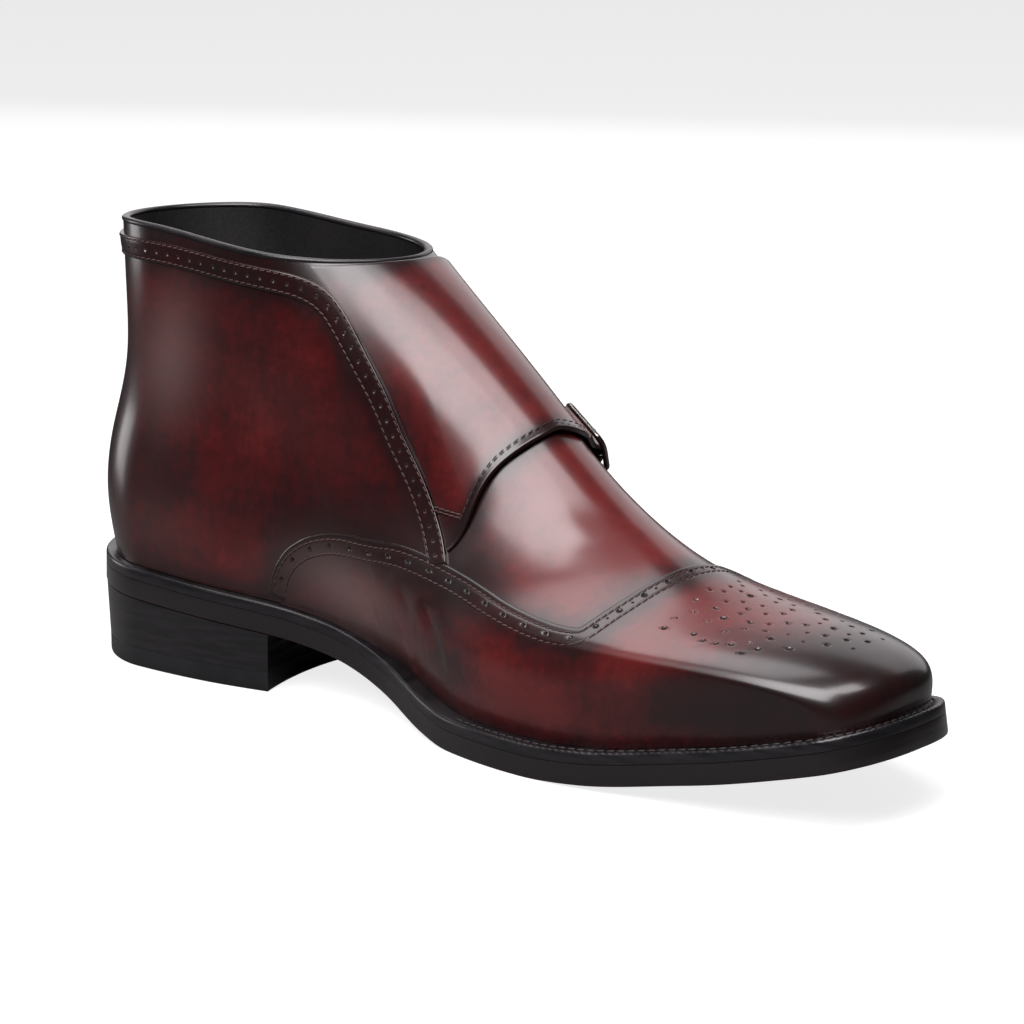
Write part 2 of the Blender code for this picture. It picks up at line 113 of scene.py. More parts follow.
# The flap's rough size (mm), which spaces its rows and columns
FLAP_TALL = 75.0
FLAP_WIDE = 110.0

# The part's box is centred on X and Y
CENTRE_X = 6.45
CENTRE_Y = 152.6


class Table:
    """Rows of numbers under named columns; the first column says where each row is."""

    def __init__(self, columns, rows):
        self.columns = columns.split()
        self.rows = np.array(rows, dtype=float)

    def column(self, name):
        return self.rows[:, self.columns.index(name)]

    def smooth(self, name, at):
        """Natural cubic spline through the column."""
        return spline_weights(self.rows[:, 0], at) @ self.column(name)

    def level(self, name, at):
        """Hermite curve through the column that never swings past its rows, so flat stretches stay flat."""
        knots, values = self.rows[:, 0], self.column(name)
        step = np.diff(knots)
        rise = np.diff(values) / step
        slope = np.zeros(len(knots))
        same_way = rise[:-1] * rise[1:] > 0
        total = np.where(same_way, rise[:-1] + rise[1:], 1.0)
        slope[1:-1] = np.where(same_way, 2 * rise[:-1] * rise[1:] / total, 0.0)
        slope[0], slope[-1] = rise[0], rise[-1]
        at = np.clip(at, knots[0], knots[-1])
        k = np.clip(np.searchsorted(knots, at, side="right") - 1, 0, len(step) - 1)
        f = (at - knots[k]) / step[k]
        start = (1 + 2 * f) * (1 - f) ** 2 * values[k] + f * (1 - f) ** 2 * step[k] * slope[k]
        end = f * f * (3 - 2 * f) * values[k + 1] - f * f * (1 - f) * step[k] * slope[k + 1]
        return start + end


def spline_weights(knots, at):
    """Weight of each knot's value in the natural cubic spline at the places 'at'."""
    count = len(knots)
    step = np.diff(knots)
    bend = np.eye(count)
    pull = np.zeros((count, count))
    for i in range(1, count - 1):
        bend[i, i - 1:i + 2] = step[i - 1], 2 * (step[i - 1] + step[i]), step[i]
        pull[i, i - 1:i + 2] = 6 / step[i - 1], -6 / step[i - 1] - 6 / step[i], 6 / step[i]
    curvature = np.linalg.solve(bend, pull)
    at = np.clip(at, knots[0], knots[-1])
    k = np.clip(np.searchsorted(knots, at, side="right") - 1, 0, count - 2)
    b = ((at - knots[k]) / step[k])[..., None]
    a = 1 - b
    size = (step[k] ** 2 / 6)[..., None]
    chord = a * np.eye(count)[k] + b * np.eye(count)[k + 1]
    return chord + ((a ** 3 - a) * curvature[k] + (b ** 3 - b) * curvature[k + 1]) * size


# Half widths of the outsole's edge, each side of the straight line from heel to toe
OUTLINE = Table("station lateral medial", [
    [0, 29.5, 35.0], [35, 38.0, 36.8], [70, 40.6, 34.4], [100, 42.0, 28.6], [135, 51.6, 29.9],
    [165, 59.2, 40.7], [190, 58.4, 46.1], [215, 52.9, 46.3], [240, 43.7, 43.0], [265, 34.0, 40.6],
    [285, 25.0, 37.2], [306, 19.7, 34.7]])

# How far the sole stands out past the upper, from heel to toe
EDGE_MARGIN = Table("station margin", [
    [0, 3.4], [105, 3.4], [155, 6.6], [240, 6.6], [300, 4.6]])

# Underside of the outsole: heel pitch, shank, flat tread under the ball and toe spring
BOTTOM = Table("station level", [
    [0, 24.4], [84, 18.6], [108, 15.0], [136, 7.3], [156, 1.7], [169, 0.0], [199, 0.0], [218, 1.0],
    [253, 6.9], [282, 13.5], [306, 20.2], [310, 21.3]])

# Front edge of the upper in side view, from the toe over the instep to the collar
RIDGE = Table("height station level roundness fullness", [
    [0.00, 301.8, 29.3, 17, 2.8], [0.07, 302.0, 36.5, 20, 2.5], [0.15, 297.0, 41.5, 26, 2.4],
    [0.25, 282.0, 45.6, 45, 2.2], [0.37, 257.0, 48.5, 80, 2.1], [0.50, 226.0, 55.2, 110, 2.0],
    [0.63, 192.0, 72.0, 105, 2.0], [0.76, 160.0, 98.6, 85, 2.0], [0.88, 133.0, 121.0, 60, 2.0],
    [1.00, 116.0, 133.5, 42, 2.0]])

# Back of the upper in side view
BACK = Table("height station level roundness", [
    [0.00, 3.2, 34.4, 31], [0.20, -2.0, 52.0, 32], [0.40, -1.6, 72.0, 32], [0.65, 6.0, 98.0, 31],
    [1.00, 6.5, 139.0, 30]])

# Half widths of the upper at four heights above the insole's seat, and how far the last leans sideways
SECTIONS = Table("station at_20 at_45 at_80 at_125 lean", [
    [0, 30.5, 28.0, 29.5, 26.0, 1.0], [40, 33.5, 30.0, 31.0, 27.5, 2.5],
    [80, 33.5, 30.3, 32.0, 29.5, 4.5], [115, 34.3, 31.5, 33.5, 30.0, 5.0],
    [150, 41.0, 35.0, 36.0, 29.0, 5.0], [185, 46.5, 38.0, 37.0, 29.0, 4.0],
    [215, 43.6, 36.4, 36.0, 29.0, 1.2], [245, 37.0, 31.2, 32.0, 27.0, -1.7],
    [275, 30.5, 25.0, 28.0, 24.0, -3.9], [306, 24.5, 19.0, 22.0, 20.0, -4.8]])

# Share of the sole's own centre line and of the lean at each of those heights
SWAY = Table("height plan lean", [
    [0, 1.00, 0.00], [20, 0.31, 0.69], [45, 0.00, 1.00], [80, 0.00, 0.74], [125, 0.00, 0.40]])

# Rise of the collar above the straight line from its back to its front
COLLAR = Table("forward rise", [[0.0, 0.0], [0.25, 1.8], [0.5, 0.5], [0.75, -0.6], [1.0, 0.0]])

# The flap's edges on the upper, where 'turn' is around / pi; its fourth edge runs between the straps' roots
FLAP_BACK = Table("share turn height", [
    [0.00, 1.265, 0.985], [0.25, 1.270, 0.870], [0.50, 1.290, 0.755], [0.75, 1.325, 0.635],
    [1.00, 1.365, 0.515]])
FLAP_TOP = Table("share turn height", [
    [0.00, 1.265, 0.985], [0.50, 0.970, 0.985], [0.72, 0.850, 0.965]])
FLAP_FRONT = Table("share turn height", [
    [0.00, 1.365, 0.515], [0.18, 1.253, 0.633], [0.36, 1.150, 0.685], [0.60, 1.044, 0.705],
    [0.80, 0.980, 0.705]])
FLAP_SIDE_HOLLOW = (0.745, 0.752)

# Middle line of each strap from the flap to its tip; 'reach' is the distance along it from the buckle's bar
STRAP_ROUTES = {
    "rear": Table("reach turn height", [
        [-12.0, 0.694, 0.850], [0.0, 0.615, 0.796], [18.0, 0.505, 0.714], [38.0, 0.400, 0.634]]),
    "front": Table("reach turn height", [
        [-12.0, 0.872, 0.714], [0.0, 0.772, 0.668], [12.0, 0.700, 0.610], [22.0, 0.648, 0.556]])}
STRAP_END = {"rear": 38.0, "front": 21.0}

# Height of the strap's under face on its way under the frame's long bars and over the centre bar
STRAP_LIFT = Table("reach lift", [
    [-12.0, 0.3], [-8.5, 1.5], [-WEAVE_REACH, 1.5], [-WEAVE_REACH / 5, 4.4], [WEAVE_REACH / 5, 4.4],
    [WEAVE_REACH, 1.5], [9.0, 1.5], [17.0, 1.6], [40.0, 2.0]])


# Lines drawn on the upper as rows of turn and height

# Middle of the perforated wing band, from the medial welt round the toe to the lateral welt
WING_LINE = [
    [1.640, 0.030], [1.630, 0.104], [1.610, 0.188], [1.577, 0.277], [1.532, 0.368], [1.478, 0.434],
    [1.427, 0.458], [1.378, 0.436], [1.352, 0.400], [1.328, 0.361], [1.309, 0.337], [1.290, 0.334],
    [1.268, 0.357], [1.223, 0.408], [1.150, 0.462], [1.071, 0.490], [0.990, 0.495], [0.900, 0.474],
    [0.820, 0.430], [0.765, 0.385], [0.733, 0.358], [0.710, 0.360], [0.703, 0.405], [0.716, 0.480],
    [0.738, 0.570], [0.744, 0.640], [0.706, 0.668], [0.640, 0.645], [0.588, 0.622], [0.548, 0.606],
    [0.512, 0.565], [0.472, 0.490], [0.430, 0.355], [0.398, 0.215], [0.368, 0.070]]

# Rows of the wing line at its two valleys and at its top, and the turns on the welt its cap is joined to
CAP_VALLEYS = (11, 21)
CAP_TOP = 16
CAP_FOOT_TURNS = [1.640, 1.30, 1.0, 0.70, 0.368]

# Middle of the perforated band along the collar and down the flap's back edge
COLLAR_BAND_LINE = [
    [1.900, 0.940], [1.850, 0.938], [1.700, 0.936], [1.560, 0.940], [1.471, 0.943], [1.396, 0.941],
    [1.343, 0.934], [1.307, 0.917], [1.292, 0.886], [1.297, 0.843], [1.306, 0.800], [1.316, 0.750],
    [1.330, 0.700], [1.341, 0.645], [1.358, 0.585], [1.379, 0.515], [1.392, 0.470]]

# Half width of the backstay at the heel, as a turn
BACKSTAY = Table("height turn", [
    [0.00, 0.034], [0.14, 0.036], [0.28, 0.040], [0.46, 0.052], [0.70, 0.058], [0.88, 0.070],
    [0.96, 0.098], [1.00, 0.130]])

# Toe medallion: plan places of its holes, mirrored about the middle line of the toe
MEDALLION = Table("station aside radius", [
    [238.5, 0.0, 0.60], [241.8, 0.0, 0.60], [245.6, 0.0, 1.05], [236.4, 6.6, 0.60],
    [239.6, 4.6, 0.60], [236.0, 13.0, 0.80], [238.8, 17.6, 0.60], [236.2, 22.6, 0.60],
    [235.8, 27.2, 0.95], [243.2, 8.4, 0.60], [246.8, 5.2, 0.60], [243.4, 13.2, 0.80],
    [248.2, 15.6, 1.05], [244.8, 19.0, 0.60], [250.8, 11.2, 0.60], [250.4, 7.6, 0.80],
    [252.4, 3.0, 0.60], [245.4, 25.6, 0.90], [249.4, 26.6, 0.80], [253.6, 26.0, 0.85],
    [257.6, 24.8, 0.85], [252.0, 20.8, 0.60], [256.6, 17.0, 0.60], [256.0, 13.2, 0.80],
    [256.2, 6.6, 0.60], [259.2, 2.4, 0.80], [261.6, 21.8, 0.60], [262.6, 26.4, 1.05],
    [266.0, 23.0, 1.00], [260.6, 10.8, 0.60], [264.2, 7.2, 0.80], [266.0, 17.0, 0.80],
    [262.0, 14.6, 0.60], [273.0, 18.6, 1.05], [268.6, 12.6, 0.60], [269.2, 4.4, 0.80],
    [272.4, 8.4, 0.60], [270.6, 0.0, 0.60], [275.4, 0.0, 1.05], [274.6, 13.2, 0.60],
    [277.0, 6.6, 0.80], [280.6, 10.8, 0.80], [280.8, 0.0, 0.60], [282.4, 4.4, 0.80],
    [286.6, 0.0, 0.85], [287.0, 7.2, 0.60]])

# Middle line of the toe in plan, as sideways place in the part's frame
TOE_MIDDLE = Table("station x", [[225, -6.5], [250, -8.0], [275, -10.0], [300, -11.5]])

# Soft creases of the worn-in leather, each a line on the upper with its depth and half width in mm
CREASES = [
    (0.40, 2.6, [[1.470, 0.330], [1.484, 0.240], [1.500, 0.140], [1.512, 0.040]]),
    (0.30, 2.2, [[1.452, 0.300], [1.462, 0.210], [1.472, 0.120]]),
    (0.26, 3.0, [[1.520, 0.300], [1.532, 0.220], [1.548, 0.130]]),
    (0.05, 3.4, [[1.190, 0.640], [1.120, 0.612], [1.040, 0.600], [0.960, 0.606]]),
    (0.045, 3.2, [[1.220, 0.560], [1.140, 0.560], [1.060, 0.566]]),
    (0.18, 3.4, [[0.520, 0.300], [0.545, 0.220], [0.560, 0.120]]),
    (0.16, 3.6, [[0.480, 0.420], [0.440, 0.420], [0.400, 0.440]])]


def bottom(station):
    return BOTTOM.level("level", station)


def seat(station):
    """Level at which the upper meets the welt."""
    return bottom(station) + EDGE_THICK + GAP


def edge_margin(station):
    return EDGE_MARGIN.level("margin", station)


def coons(u, v, low, high, left, right):
    """Surface patch between four curves: low and high run along u, left and right along v."""
    u, v = u[..., None], v[..., None]
    corners = (1 - u) * ((1 - v) * left(0.0) + v * left(1.0)) + u * ((1 - v) * right(0.0) + v * right(1.0))
    across = (1 - u) * left(v[..., 0]) + u * right(v[..., 0])
    along = (1 - v) * low(u[..., 0]) + v * high(u[..., 0])
    return across + along - corners


def curve(table, *names):
    """The named columns of a table as one curve."""
    return lambda at: np.stack([table.smooth(name, np.asarray(at, dtype=float)) for name in names], axis=-1)


def seat_line(forward):
    back, front = BACK.column("station")[0], RIDGE.column("station")[0]
    station = back + (front - back) * forward
    return np.stack([station, seat(station)], axis=-1)


def collar_line(forward):
    back = BACK.rows[-1, 1:3]
    front = RIDGE.rows[-1, 1:3]
    line = back + (front - back) * forward[..., None]
    line[..., 1] += COLLAR.smooth("rise", forward)
    return line


def upper_surface(around, height):
    """Outer face of the upper.

    In side view a Coons patch between the seat, the collar, the back and the ridge gives station and level.
    The half width there comes from the sections, and both ends are rounded off by superellipses.
    """
    around, height = np.broadcast_arrays(np.asarray(around, dtype=float), np.asarray(height, dtype=float))
    forward = (1 - np.cos(around)) / 2
    side = np.where(np.sin(around) >= 0, 1.0, -1.0)
    net = coons(forward, height, seat_line, collar_line,
                curve(BACK, "station", "level"), curve(RIDGE, "station", "level"))
    station, level = net[..., 0], net[..., 1]
    lateral = OUTLINE.smooth("lateral", station) - edge_margin(station)
    medial = OUTLINE.smooth("medial", station) - edge_margin(station)
    names = ("at_20", "at_45", "at_80", "at_125")
    widths = [(lateral + medial) / 2] + [SECTIONS.smooth(name, station) for name in names]
    above = level - seat(station)
    shares = spline_weights(SWAY.rows[:, 0], above)
    half_width = np.sum(shares * np.stack(widths, axis=-1), axis=-1)
    centre = (shares @ SWAY.column("plan")) * (lateral - medial) / 2
    centre = centre + (shares @ SWAY.column("lean")) * SECTIONS.smooth("lean", station)
    skew = 1 + TOE_SKEW * side * np.clip(1 - height / TOE_SKEW_ENDS, 0, 1)
    to_front = (RIDGE.smooth("station", height) - station) / (RIDGE.smooth("roundness", height) * skew)
    to_back = (station - BACK.smooth("station", height)) / BACK.smooth("roundness", height)
    front = (1 - (1 - np.clip(to_front, 0, 1)) ** 2) ** (1 / RIDGE.smooth("fullness", height))
    back = (1 - (1 - np.clip(to_back, 0, 1)) ** 2) ** 0.5
    x = centre + side * half_width * front * back - CENTRE_X
    return np.stack([x, CENTRE_Y - station, level], axis=-1)


def travelled(points):
    """Distance along a row of points from its first to each."""
    return np.concatenate([[0.0], np.cumsum(np.linalg.norm(np.diff(points, axis=0), axis=1))])


def unit(vectors):
    return vectors / np.linalg.norm(vectors, axis=-1, keepdims=True)


def upper_slopes(around, height):
    """How the surface moves for one radian around and for one unit of height."""
    step = 1e-3
    above, below = np.minimum(height + step, 1.0), np.maximum(height - step, 0.0)
    turn = (upper_surface(around + step, height) - upper_surface(around - step, height)) / (2 * step)
    rise = (upper_surface(around, above) - upper_surface(around, below)) / (above - below)[..., None]
    return turn, rise


def surface_normal(around, height):
    turn, rise = upper_slopes(around, height)
    return unit(np.cross(rise, turn))


def upper_skin(around, height, lift):
    """Points 'lift' mm outside the outer face."""
    return upper_surface(around, height) + surface_normal(around, height) * lift[..., None]


def plan_loop(around, outward):
    """Loop around the seat line, moved outward by so many mm in plan; its level is left at zero."""
    loop = upper_surface(around, 0.0)
    turn, _ = upper_slopes(around, np.zeros_like(around))
    normal = unit(np.stack([-turn[..., 1], turn[..., 0], np.zeros_like(around)], axis=-1))
    return (loop + normal * np.asarray(outward)[..., None]) * (1, 1, 0)


def sole_edge(around):
    """Outer edge of outsole and welt in plan."""
    station = CENTRE_Y - upper_surface(around, 0.0)[..., 1]
    return plan_loop(around, edge_margin(station))


def raised(loop, above_bottom):
    """A plan loop lifted above the outsole's underside; the edge leans forward where the toe springs."""
    station = CENTRE_Y - loop[..., 1]
    spring = (bottom(station + 1) - bottom(station - 1)) / 2
    station = station + EDGE_LEAN * spring * (EDGE_THICK - above_bottom)
    return np.stack([loop[..., 0], CENTRE_Y - station, bottom(station) + above_bottom], axis=-1)


def strap_root(which, side):
    """Corner where one side of a strap leaves the flap, as turn and height."""
    around, height = aside(strap_line(which), STRAP_ROOT, side * STRAP_HALF_WIDTH)
    return np.array([around / pi, height])


def flap_edge(table, corner):
    """An edge of the flap that ends at a strap's root."""
    return curve(Table("share turn height", table.rows.tolist() + [[1.0, *corner]]), "turn", "height")


def flap_place(across, down):
    """Place on the upper of a spot on the flap, across from its perforated edge and down from the collar."""
    side = np.array([strap_root("rear", 1), strap_root("rear", -1), FLAP_SIDE_HOLLOW,
                     strap_root("front", 1), strap_root("front", -1)])
    shares = np.linspace(0, 1, len(side))

    def side_edge(at):
        return np.stack([np.interp(at, shares, column) for column in side.T], axis=-1)

    place = coons(across, down, flap_edge(FLAP_TOP, side[0]), flap_edge(FLAP_FRONT, side[-1]),
                  curve(FLAP_BACK, "turn", "height"), side_edge)
    return place[..., 0] * pi, place[..., 1]


def strap_under(reach):
    return STRAP_LIFT.level("lift", reach)


def prong_under(reach):
    """The prong rests on the strap over the centre bar and on the frame's far bar."""
    on_strap = strap_under(0.0) + LEATHER + GAP
    on_bar = FRAME_LOW + FRAME_THICK + GAP
    return on_strap + (on_bar - on_strap) * np.clip(reach / (FRAME_HALF_LENGTH - BAR), 0, 1)


def chape_thick(reach):
    """The chape is doubled where it wraps the centre bar."""
    pad = FRAME_LOW - CENTRE_BAR_DROP - 2 * GAP - CHAPE_THICK
    return CHAPE_THICK + pad * (np.abs(reach) < 2 * BAR)


class Line:
    """A line drawn on the upper through rows of turn and height; reach is the distance along it in mm."""

    def __init__(self, rows):
        rows = np.array(rows)
        knots = np.arange(len(rows))
        fine = np.linspace(0, len(rows) - 1, 40 * len(rows))
        self.turn, self.height = (spline_weights(knots, fine) @ rows).T
        self.reach = travelled(upper_surface(self.turn * pi, self.height))
        self.length = self.reach[-1]
        self.last_row = len(rows) - 1

    def __call__(self, reach):
        return np.interp(reach, self.reach, self.turn) * pi, np.interp(reach, self.reach, self.height)

    def points(self):
        return upper_surface(self.turn * pi, self.height)

    def reach_of(self, row):
        """Distance along the line to one of its rows."""
        return np.interp(row / self.last_row, np.linspace(0, 1, len(self.reach)), self.reach)


def strap_line(which):
    """The middle line of a strap as a place on the upper for each reach."""
    route = STRAP_ROUTES[which]
    return lambda reach: (route.smooth("turn", reach) * pi, route.smooth("height", reach))


def aside(line, reach, across):
    """Place on the upper 'across' mm to the left of a line at 'reach', as seen from outside along its run.

    The sideways step is turned into steps around and in height with the inverse of the surface's slopes.
    """
    reach, across = np.broadcast_arrays(np.asarray(reach, dtype=float), np.asarray(across, dtype=float))
    around, height = line(reach)
    run = upper_surface(*line(reach + 0.5)) - upper_surface(*line(reach - 0.5))
    around_slope, height_slope = upper_slopes(around, height)
    normal = unit(np.cross(height_slope, around_slope))
    sideways = unit(np.cross(normal, run)) * across[..., None]
    shift = np.linalg.pinv(np.stack([around_slope, height_slope], axis=-1)) @ sideways[..., None]
    return around + shift[..., 0, 0], height + shift[..., 1, 0]


def on_line(line, reach, across, lift):
    """Point 'lift' mm above the upper, 'across' mm aside of a line."""
    around, height = aside(line, reach, across)
    return upper_skin(around, height, np.broadcast_to(np.asarray(lift, dtype=float), np.shape(around)))


def bell(*terms):
    """Product of bell curves, each from a value, its middle and its width."""
    return np.exp(-sum(((value - middle) / width) ** 2 for value, middle, width in terms))


def ramp(value, low, high):
    """Smooth step from 0 at low to 1 at high."""
    share = np.clip((value - low) / (high - low), 0, 1)
    return share * share * (3 - 2 * share)


def rounded(inside, radius):
    """How far a quarter-round edge has fallen at 'inside' mm from the edge."""
    share = 1 - np.clip(inside / radius, 0, 1)
    return radius * (1 - np.sqrt(1 - share ** 2))


def crowded(count, span, edge=1.4):
    """Shares of a span in mm with five places crowded into the last 'edge' mm at both ends."""
    close = np.array([0.0, 0.08, 0.24, 0.46, 0.72]) * edge
    inner = np.linspace(edge, span - edge, count - 2 * len(close))
    return np.concatenate([close, inner, span - close[::-1]]) / span


def nearest(points, targets):
    """Distance from each point to the nearest target, worked out in blocks."""
    flat = points.reshape(-1, 3)
    found = np.empty(len(flat))
    for start in range(0, len(flat), 4000):
        block = flat[start:start + 4000]
        square = (block ** 2).sum(1)[:, None] + (targets ** 2).sum(1)[None] - 2 * block @ targets.T
        found[start:start + 4000] = np.sqrt(np.maximum(square.min(1), 0))
    return found.reshape(points.shape[:-1])


# --- meshes

def ring_turns(count):
    """Angles that divide a full turn evenly."""
    return np.arange(count) * 2 * pi / count


def grid_quads(rows, columns, round_rows=False, round_columns=False):
    """Cells of a grid as corner numbers; a round side joins its end to its start."""
    index = np.arange(rows * columns).reshape(rows, columns)
    if round_rows:
        index = np.vstack([index, index[:1]])
    if round_columns:
        index = np.hstack([index, index[:, :1]])
    return np.stack([index[:-1, :-1], index[1:, :-1], index[1:, 1:], index[:-1, 1:]], axis=-1).reshape(-1, 4)


def ring_quads(rows, columns):
    """Cells of a grid that closes on itself both ways."""
    return grid_quads(rows, columns, round_rows=True, round_columns=True)


def slab(outer, inner, coarse=1):
    """Closed solid between two grids: both faces and the wall around their shared border.

    The hidden inner face keeps every 'coarse'-th row and column; a wall face joins one of its edges to the
    finer edge above it.
    """
    inner = inner[::coarse, ::coarse]
    rows, columns = outer.shape[:2]
    index = np.arange(rows * columns).reshape(rows, columns)
    below = rows * columns + np.arange(inner[..., 0].size).reshape(inner.shape[:2])

    def border(numbers):
        return np.concatenate([numbers[0, :-1], numbers[:-1, -1], numbers[-1, :0:-1], numbers[:0:-1, 0]])

    fine, under = border(index), border(below)
    start = np.arange(len(under))[:, None] * coarse
    edge = fine[(start + np.arange(coarse + 1)) % len(fine)]
    wall = np.hstack([edge, np.roll(under, -1)[:, None], under[:, None]])
    points = np.concatenate([outer.reshape(-1, 3), inner.reshape(-1, 3)])
    lower = rows * columns + grid_quads(*inner.shape[:2])[:, ::-1]
    return points, [grid_quads(rows, columns), lower, wall]


def piece(name, points, faces, material, slot, replaced=(), shades=None, merge=0.0, crease_angle=0.7):
    """A piece of the boot from points in mm and arrays of faces, riding on the boot."""
    groups = faces if isinstance(faces, list) else [faces]
    corners = np.concatenate([group.ravel() for group in groups]).astype(np.int32)
    sizes = np.concatenate([np.full(len(group), group.shape[1]) for group in groups]).astype(np.int32)
    mesh = bpy.data.meshes.new(name)
    mesh.vertices.add(len(points))
    mesh.vertices.foreach_set("co", (np.asarray(points, dtype=float) * MM).ravel())
    mesh.loops.add(len(corners))
    mesh.loops.foreach_set("vertex_index", corners)
    mesh.polygons.add(len(sizes))
    mesh.polygons.foreach_set("loop_start", (np.cumsum(sizes) - sizes).astype(np.int32))
    mesh.polygons.foreach_set("loop_total", sizes)
    mesh.update(calc_edges=True)
    for key, values in (shades or {}).items():
        attribute = mesh.attributes.new(key, "FLOAT", "POINT")
        attribute.data.foreach_set("value", np.asarray(values, dtype=np.float32).ravel())
    if merge:
        shape = bmesh.new()
        shape.from_mesh(mesh)
        bmesh.ops.remove_doubles(shape, verts=shape.verts, dist=merge * MM)
        shape.to_mesh(mesh)
        shape.free()
    mesh.shade_smooth()
    if crease_angle:
        mesh.set_sharp_from_angle(angle=crease_angle)
    mesh.materials.append(material)
    obj = bpy.data.objects.new(name, mesh)
    bpy.context.scene.collection.objects.link(obj)
    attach(obj, "root")
    if replaced:
        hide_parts(*replaced)
    return obj


def many(shape, quads, centres, along, up, size):
    """Copies of one small shape; its axes go along, sideways and up, scaled by size."""
    along = unit(along)
    side = unit(np.cross(up, along))
    up = np.cross(along, side)
    axes = np.stack([along, side, up], axis=1) * np.asarray(size, dtype=float)[..., None]
    points = centres[:, None, :] + shape[None] @ axes
    numbers = np.arange(len(centres))[:, None, None] * len(shape) + quads[None]
    return points.reshape(-1, 3), numbers.reshape(-1, 4)


def capsule():
    """A stitch: circles along X whose radius follows a sine; its poles are merged by distance."""
    t, around = np.meshgrid(np.linspace(0, pi, CAPSULE_RINGS), ring_turns(CAPSULE_SIDES), indexing="ij")
    radius = np.sin(t) ** 0.6
    shape = np.stack([np.cos(t), radius * np.cos(around), radius * np.sin(around)], axis=-1) / 2
    return shape.reshape(-1, 3), grid_quads(CAPSULE_RINGS, CAPSULE_SIDES, round_columns=True)


def stitch_row(line, start, end, pitch, across, lift):
    """Stitches along a line: centres, runs and normals; across is a number or a function of reach."""
    count = int((end - start) / pitch)
    reach = start + (np.arange(count) + 0.5) * (end - start) / count
    across = across(reach) if callable(across) else across
    half = STITCH_LENGTH / 2
    centre = on_line(line, reach, across, lift)
    ahead = on_line(line, reach + half, across, lift) - on_line(line, reach - half, across, lift)
    above = on_line(line, reach, across, lift + 1.0) - centre
    return centre, unit(ahead) + STITCH_SLANT * unit(np.cross(above, ahead)), above


def sew(name, rows, material, slot, size=(STITCH_LENGTH, 0.55, 0.42)):
    """One piece of stitches from several rows of centres, runs and normals."""
    shape, quads = capsule()
    centres, along, up = (np.concatenate(part) for part in zip(*rows))
    points, faces = many(shape, quads, centres, along, up, size)
    return piece(name, points, faces, material, slot, merge=0.001, crease_angle=0)


# --- leather of the upper

def samples(rows, step=12):
    """Points of a drawn line, one in every 'step'."""
    return Line(rows).points()[::step]


SEAMS = np.concatenate([samples(WING_LINE), samples(COLLAR_BAND_LINE)])
# Front edge of the flap; the vamp beside it is darkened as a painted shadow under that edge
FLAP_SHADOW_EDGE = samples(FLAP_FRONT.rows[:, 1:])
COLLAR_EDGE = upper_surface(np.linspace(0, 2 * pi, 240), 1.0)
# Corner of the vamp by the flap and the wing band, darkened round it as painted shade
SHADED_VAMP_CORNER = np.array([-37.0, -11.0, 50.0])


def polish_and_shade(points):
    """Share of dark polish and painted shade, from 0 bright to 1 nearly black: polish is highest at toe,
    heel, welt, collar and seams, and painted shade runs along the flap's front edge and round the vamp's
    corner by the flap.
    """
    station, level, inner = CENTRE_Y - points[..., 1], points[..., 2], points[..., 0] < 0
    above = level - seat(station)
    from_middle = np.abs(points[..., 0] - TOE_MIDDLE.smooth("x", station))
    from_corner = np.linalg.norm(points - SHADED_VAMP_CORNER, axis=-1)
    toe = ramp(station + 0.45 * from_middle, 254, 292) * (1 - 0.25 * (1 - ramp(above, 4, 16)))
    toe_side = ramp(station, 196, 270) * (1 - ramp(above, 14, 27)) * ramp(above, 1, 9)
    collar = bell((nearest(points, COLLAR_EDGE), 0, 6.5 - 4.0 * ramp(station, 92, 112)))
    quarter = (1 - ramp(station, 120, 175)) * ramp(-points[..., 0], -8, 8)
    # Seams darken with polish; the band beside the flap's front edge is a painted shadow under that standing
    # edge.
    seams_and_flap_shadow = np.maximum(bell((nearest(points, SEAMS), 0, 7.5)),
                       0.8 * bell((nearest(points, FLAP_SHADOW_EDGE), 0, 3.5)))
    join = bell((station, 136, 22), (above, 40, 12)) * inner
    shank = bell((station, 166, 17), (above, 14, 10)) * inner
    heel = bell((station, 12, 27), (level, 60, 32))
    waist = bell((station, 108, 45), (above, 30, 11)) * inner
    light = 1.0
    # The bell round the vamp's corner by the flap and the wing band is painted shade.
    for depth, share in ((0.92, toe), (0.55, join), (0.5, shank), (0.75, bell((from_corner, 0, 14))),
                         (0.85, toe_side), (0.8, heel), (0.6, waist), (0.55, bell((above, 0, 4.5))),
                         (0.85, collar), (0.78, seams_and_flap_shadow), (0.30, quarter)):
        light = light * (1 - depth * share)
    return 1 - light


def painted_sheen(points):
    """Share of a painted pale sheen: a painted reflection low on the medial side and a painted highlight high
    on the back of the quarter.
    """
    station = CENTRE_Y - points[..., 1]
    above = points[..., 2] - seat(station)
    low = (bell((station, 120, 22)) + 0.22 * bell((station, 35, 35))) * bell((above, 13, 11))
    high = bell((station - 44 - 0.25 * (above - 70), 0, 13), (above, 68, 20))
    return (0.46 * low + 0.42 * high) * ramp(-points[..., 0], 5, 20)


def creased(points, normals, lines):
    """Points moved in along their normals by soft troughs with a low ridge beside them."""
    moved = points.copy()
    for depth, width, rows in lines:
        share = nearest(points, samples(rows, 6)) / width
        trough = bell((share, 0, 1)) - 0.35 * bell((share, 1.9, 0.9))
        moved -= normals * (depth * trough)[..., None]
    return moved


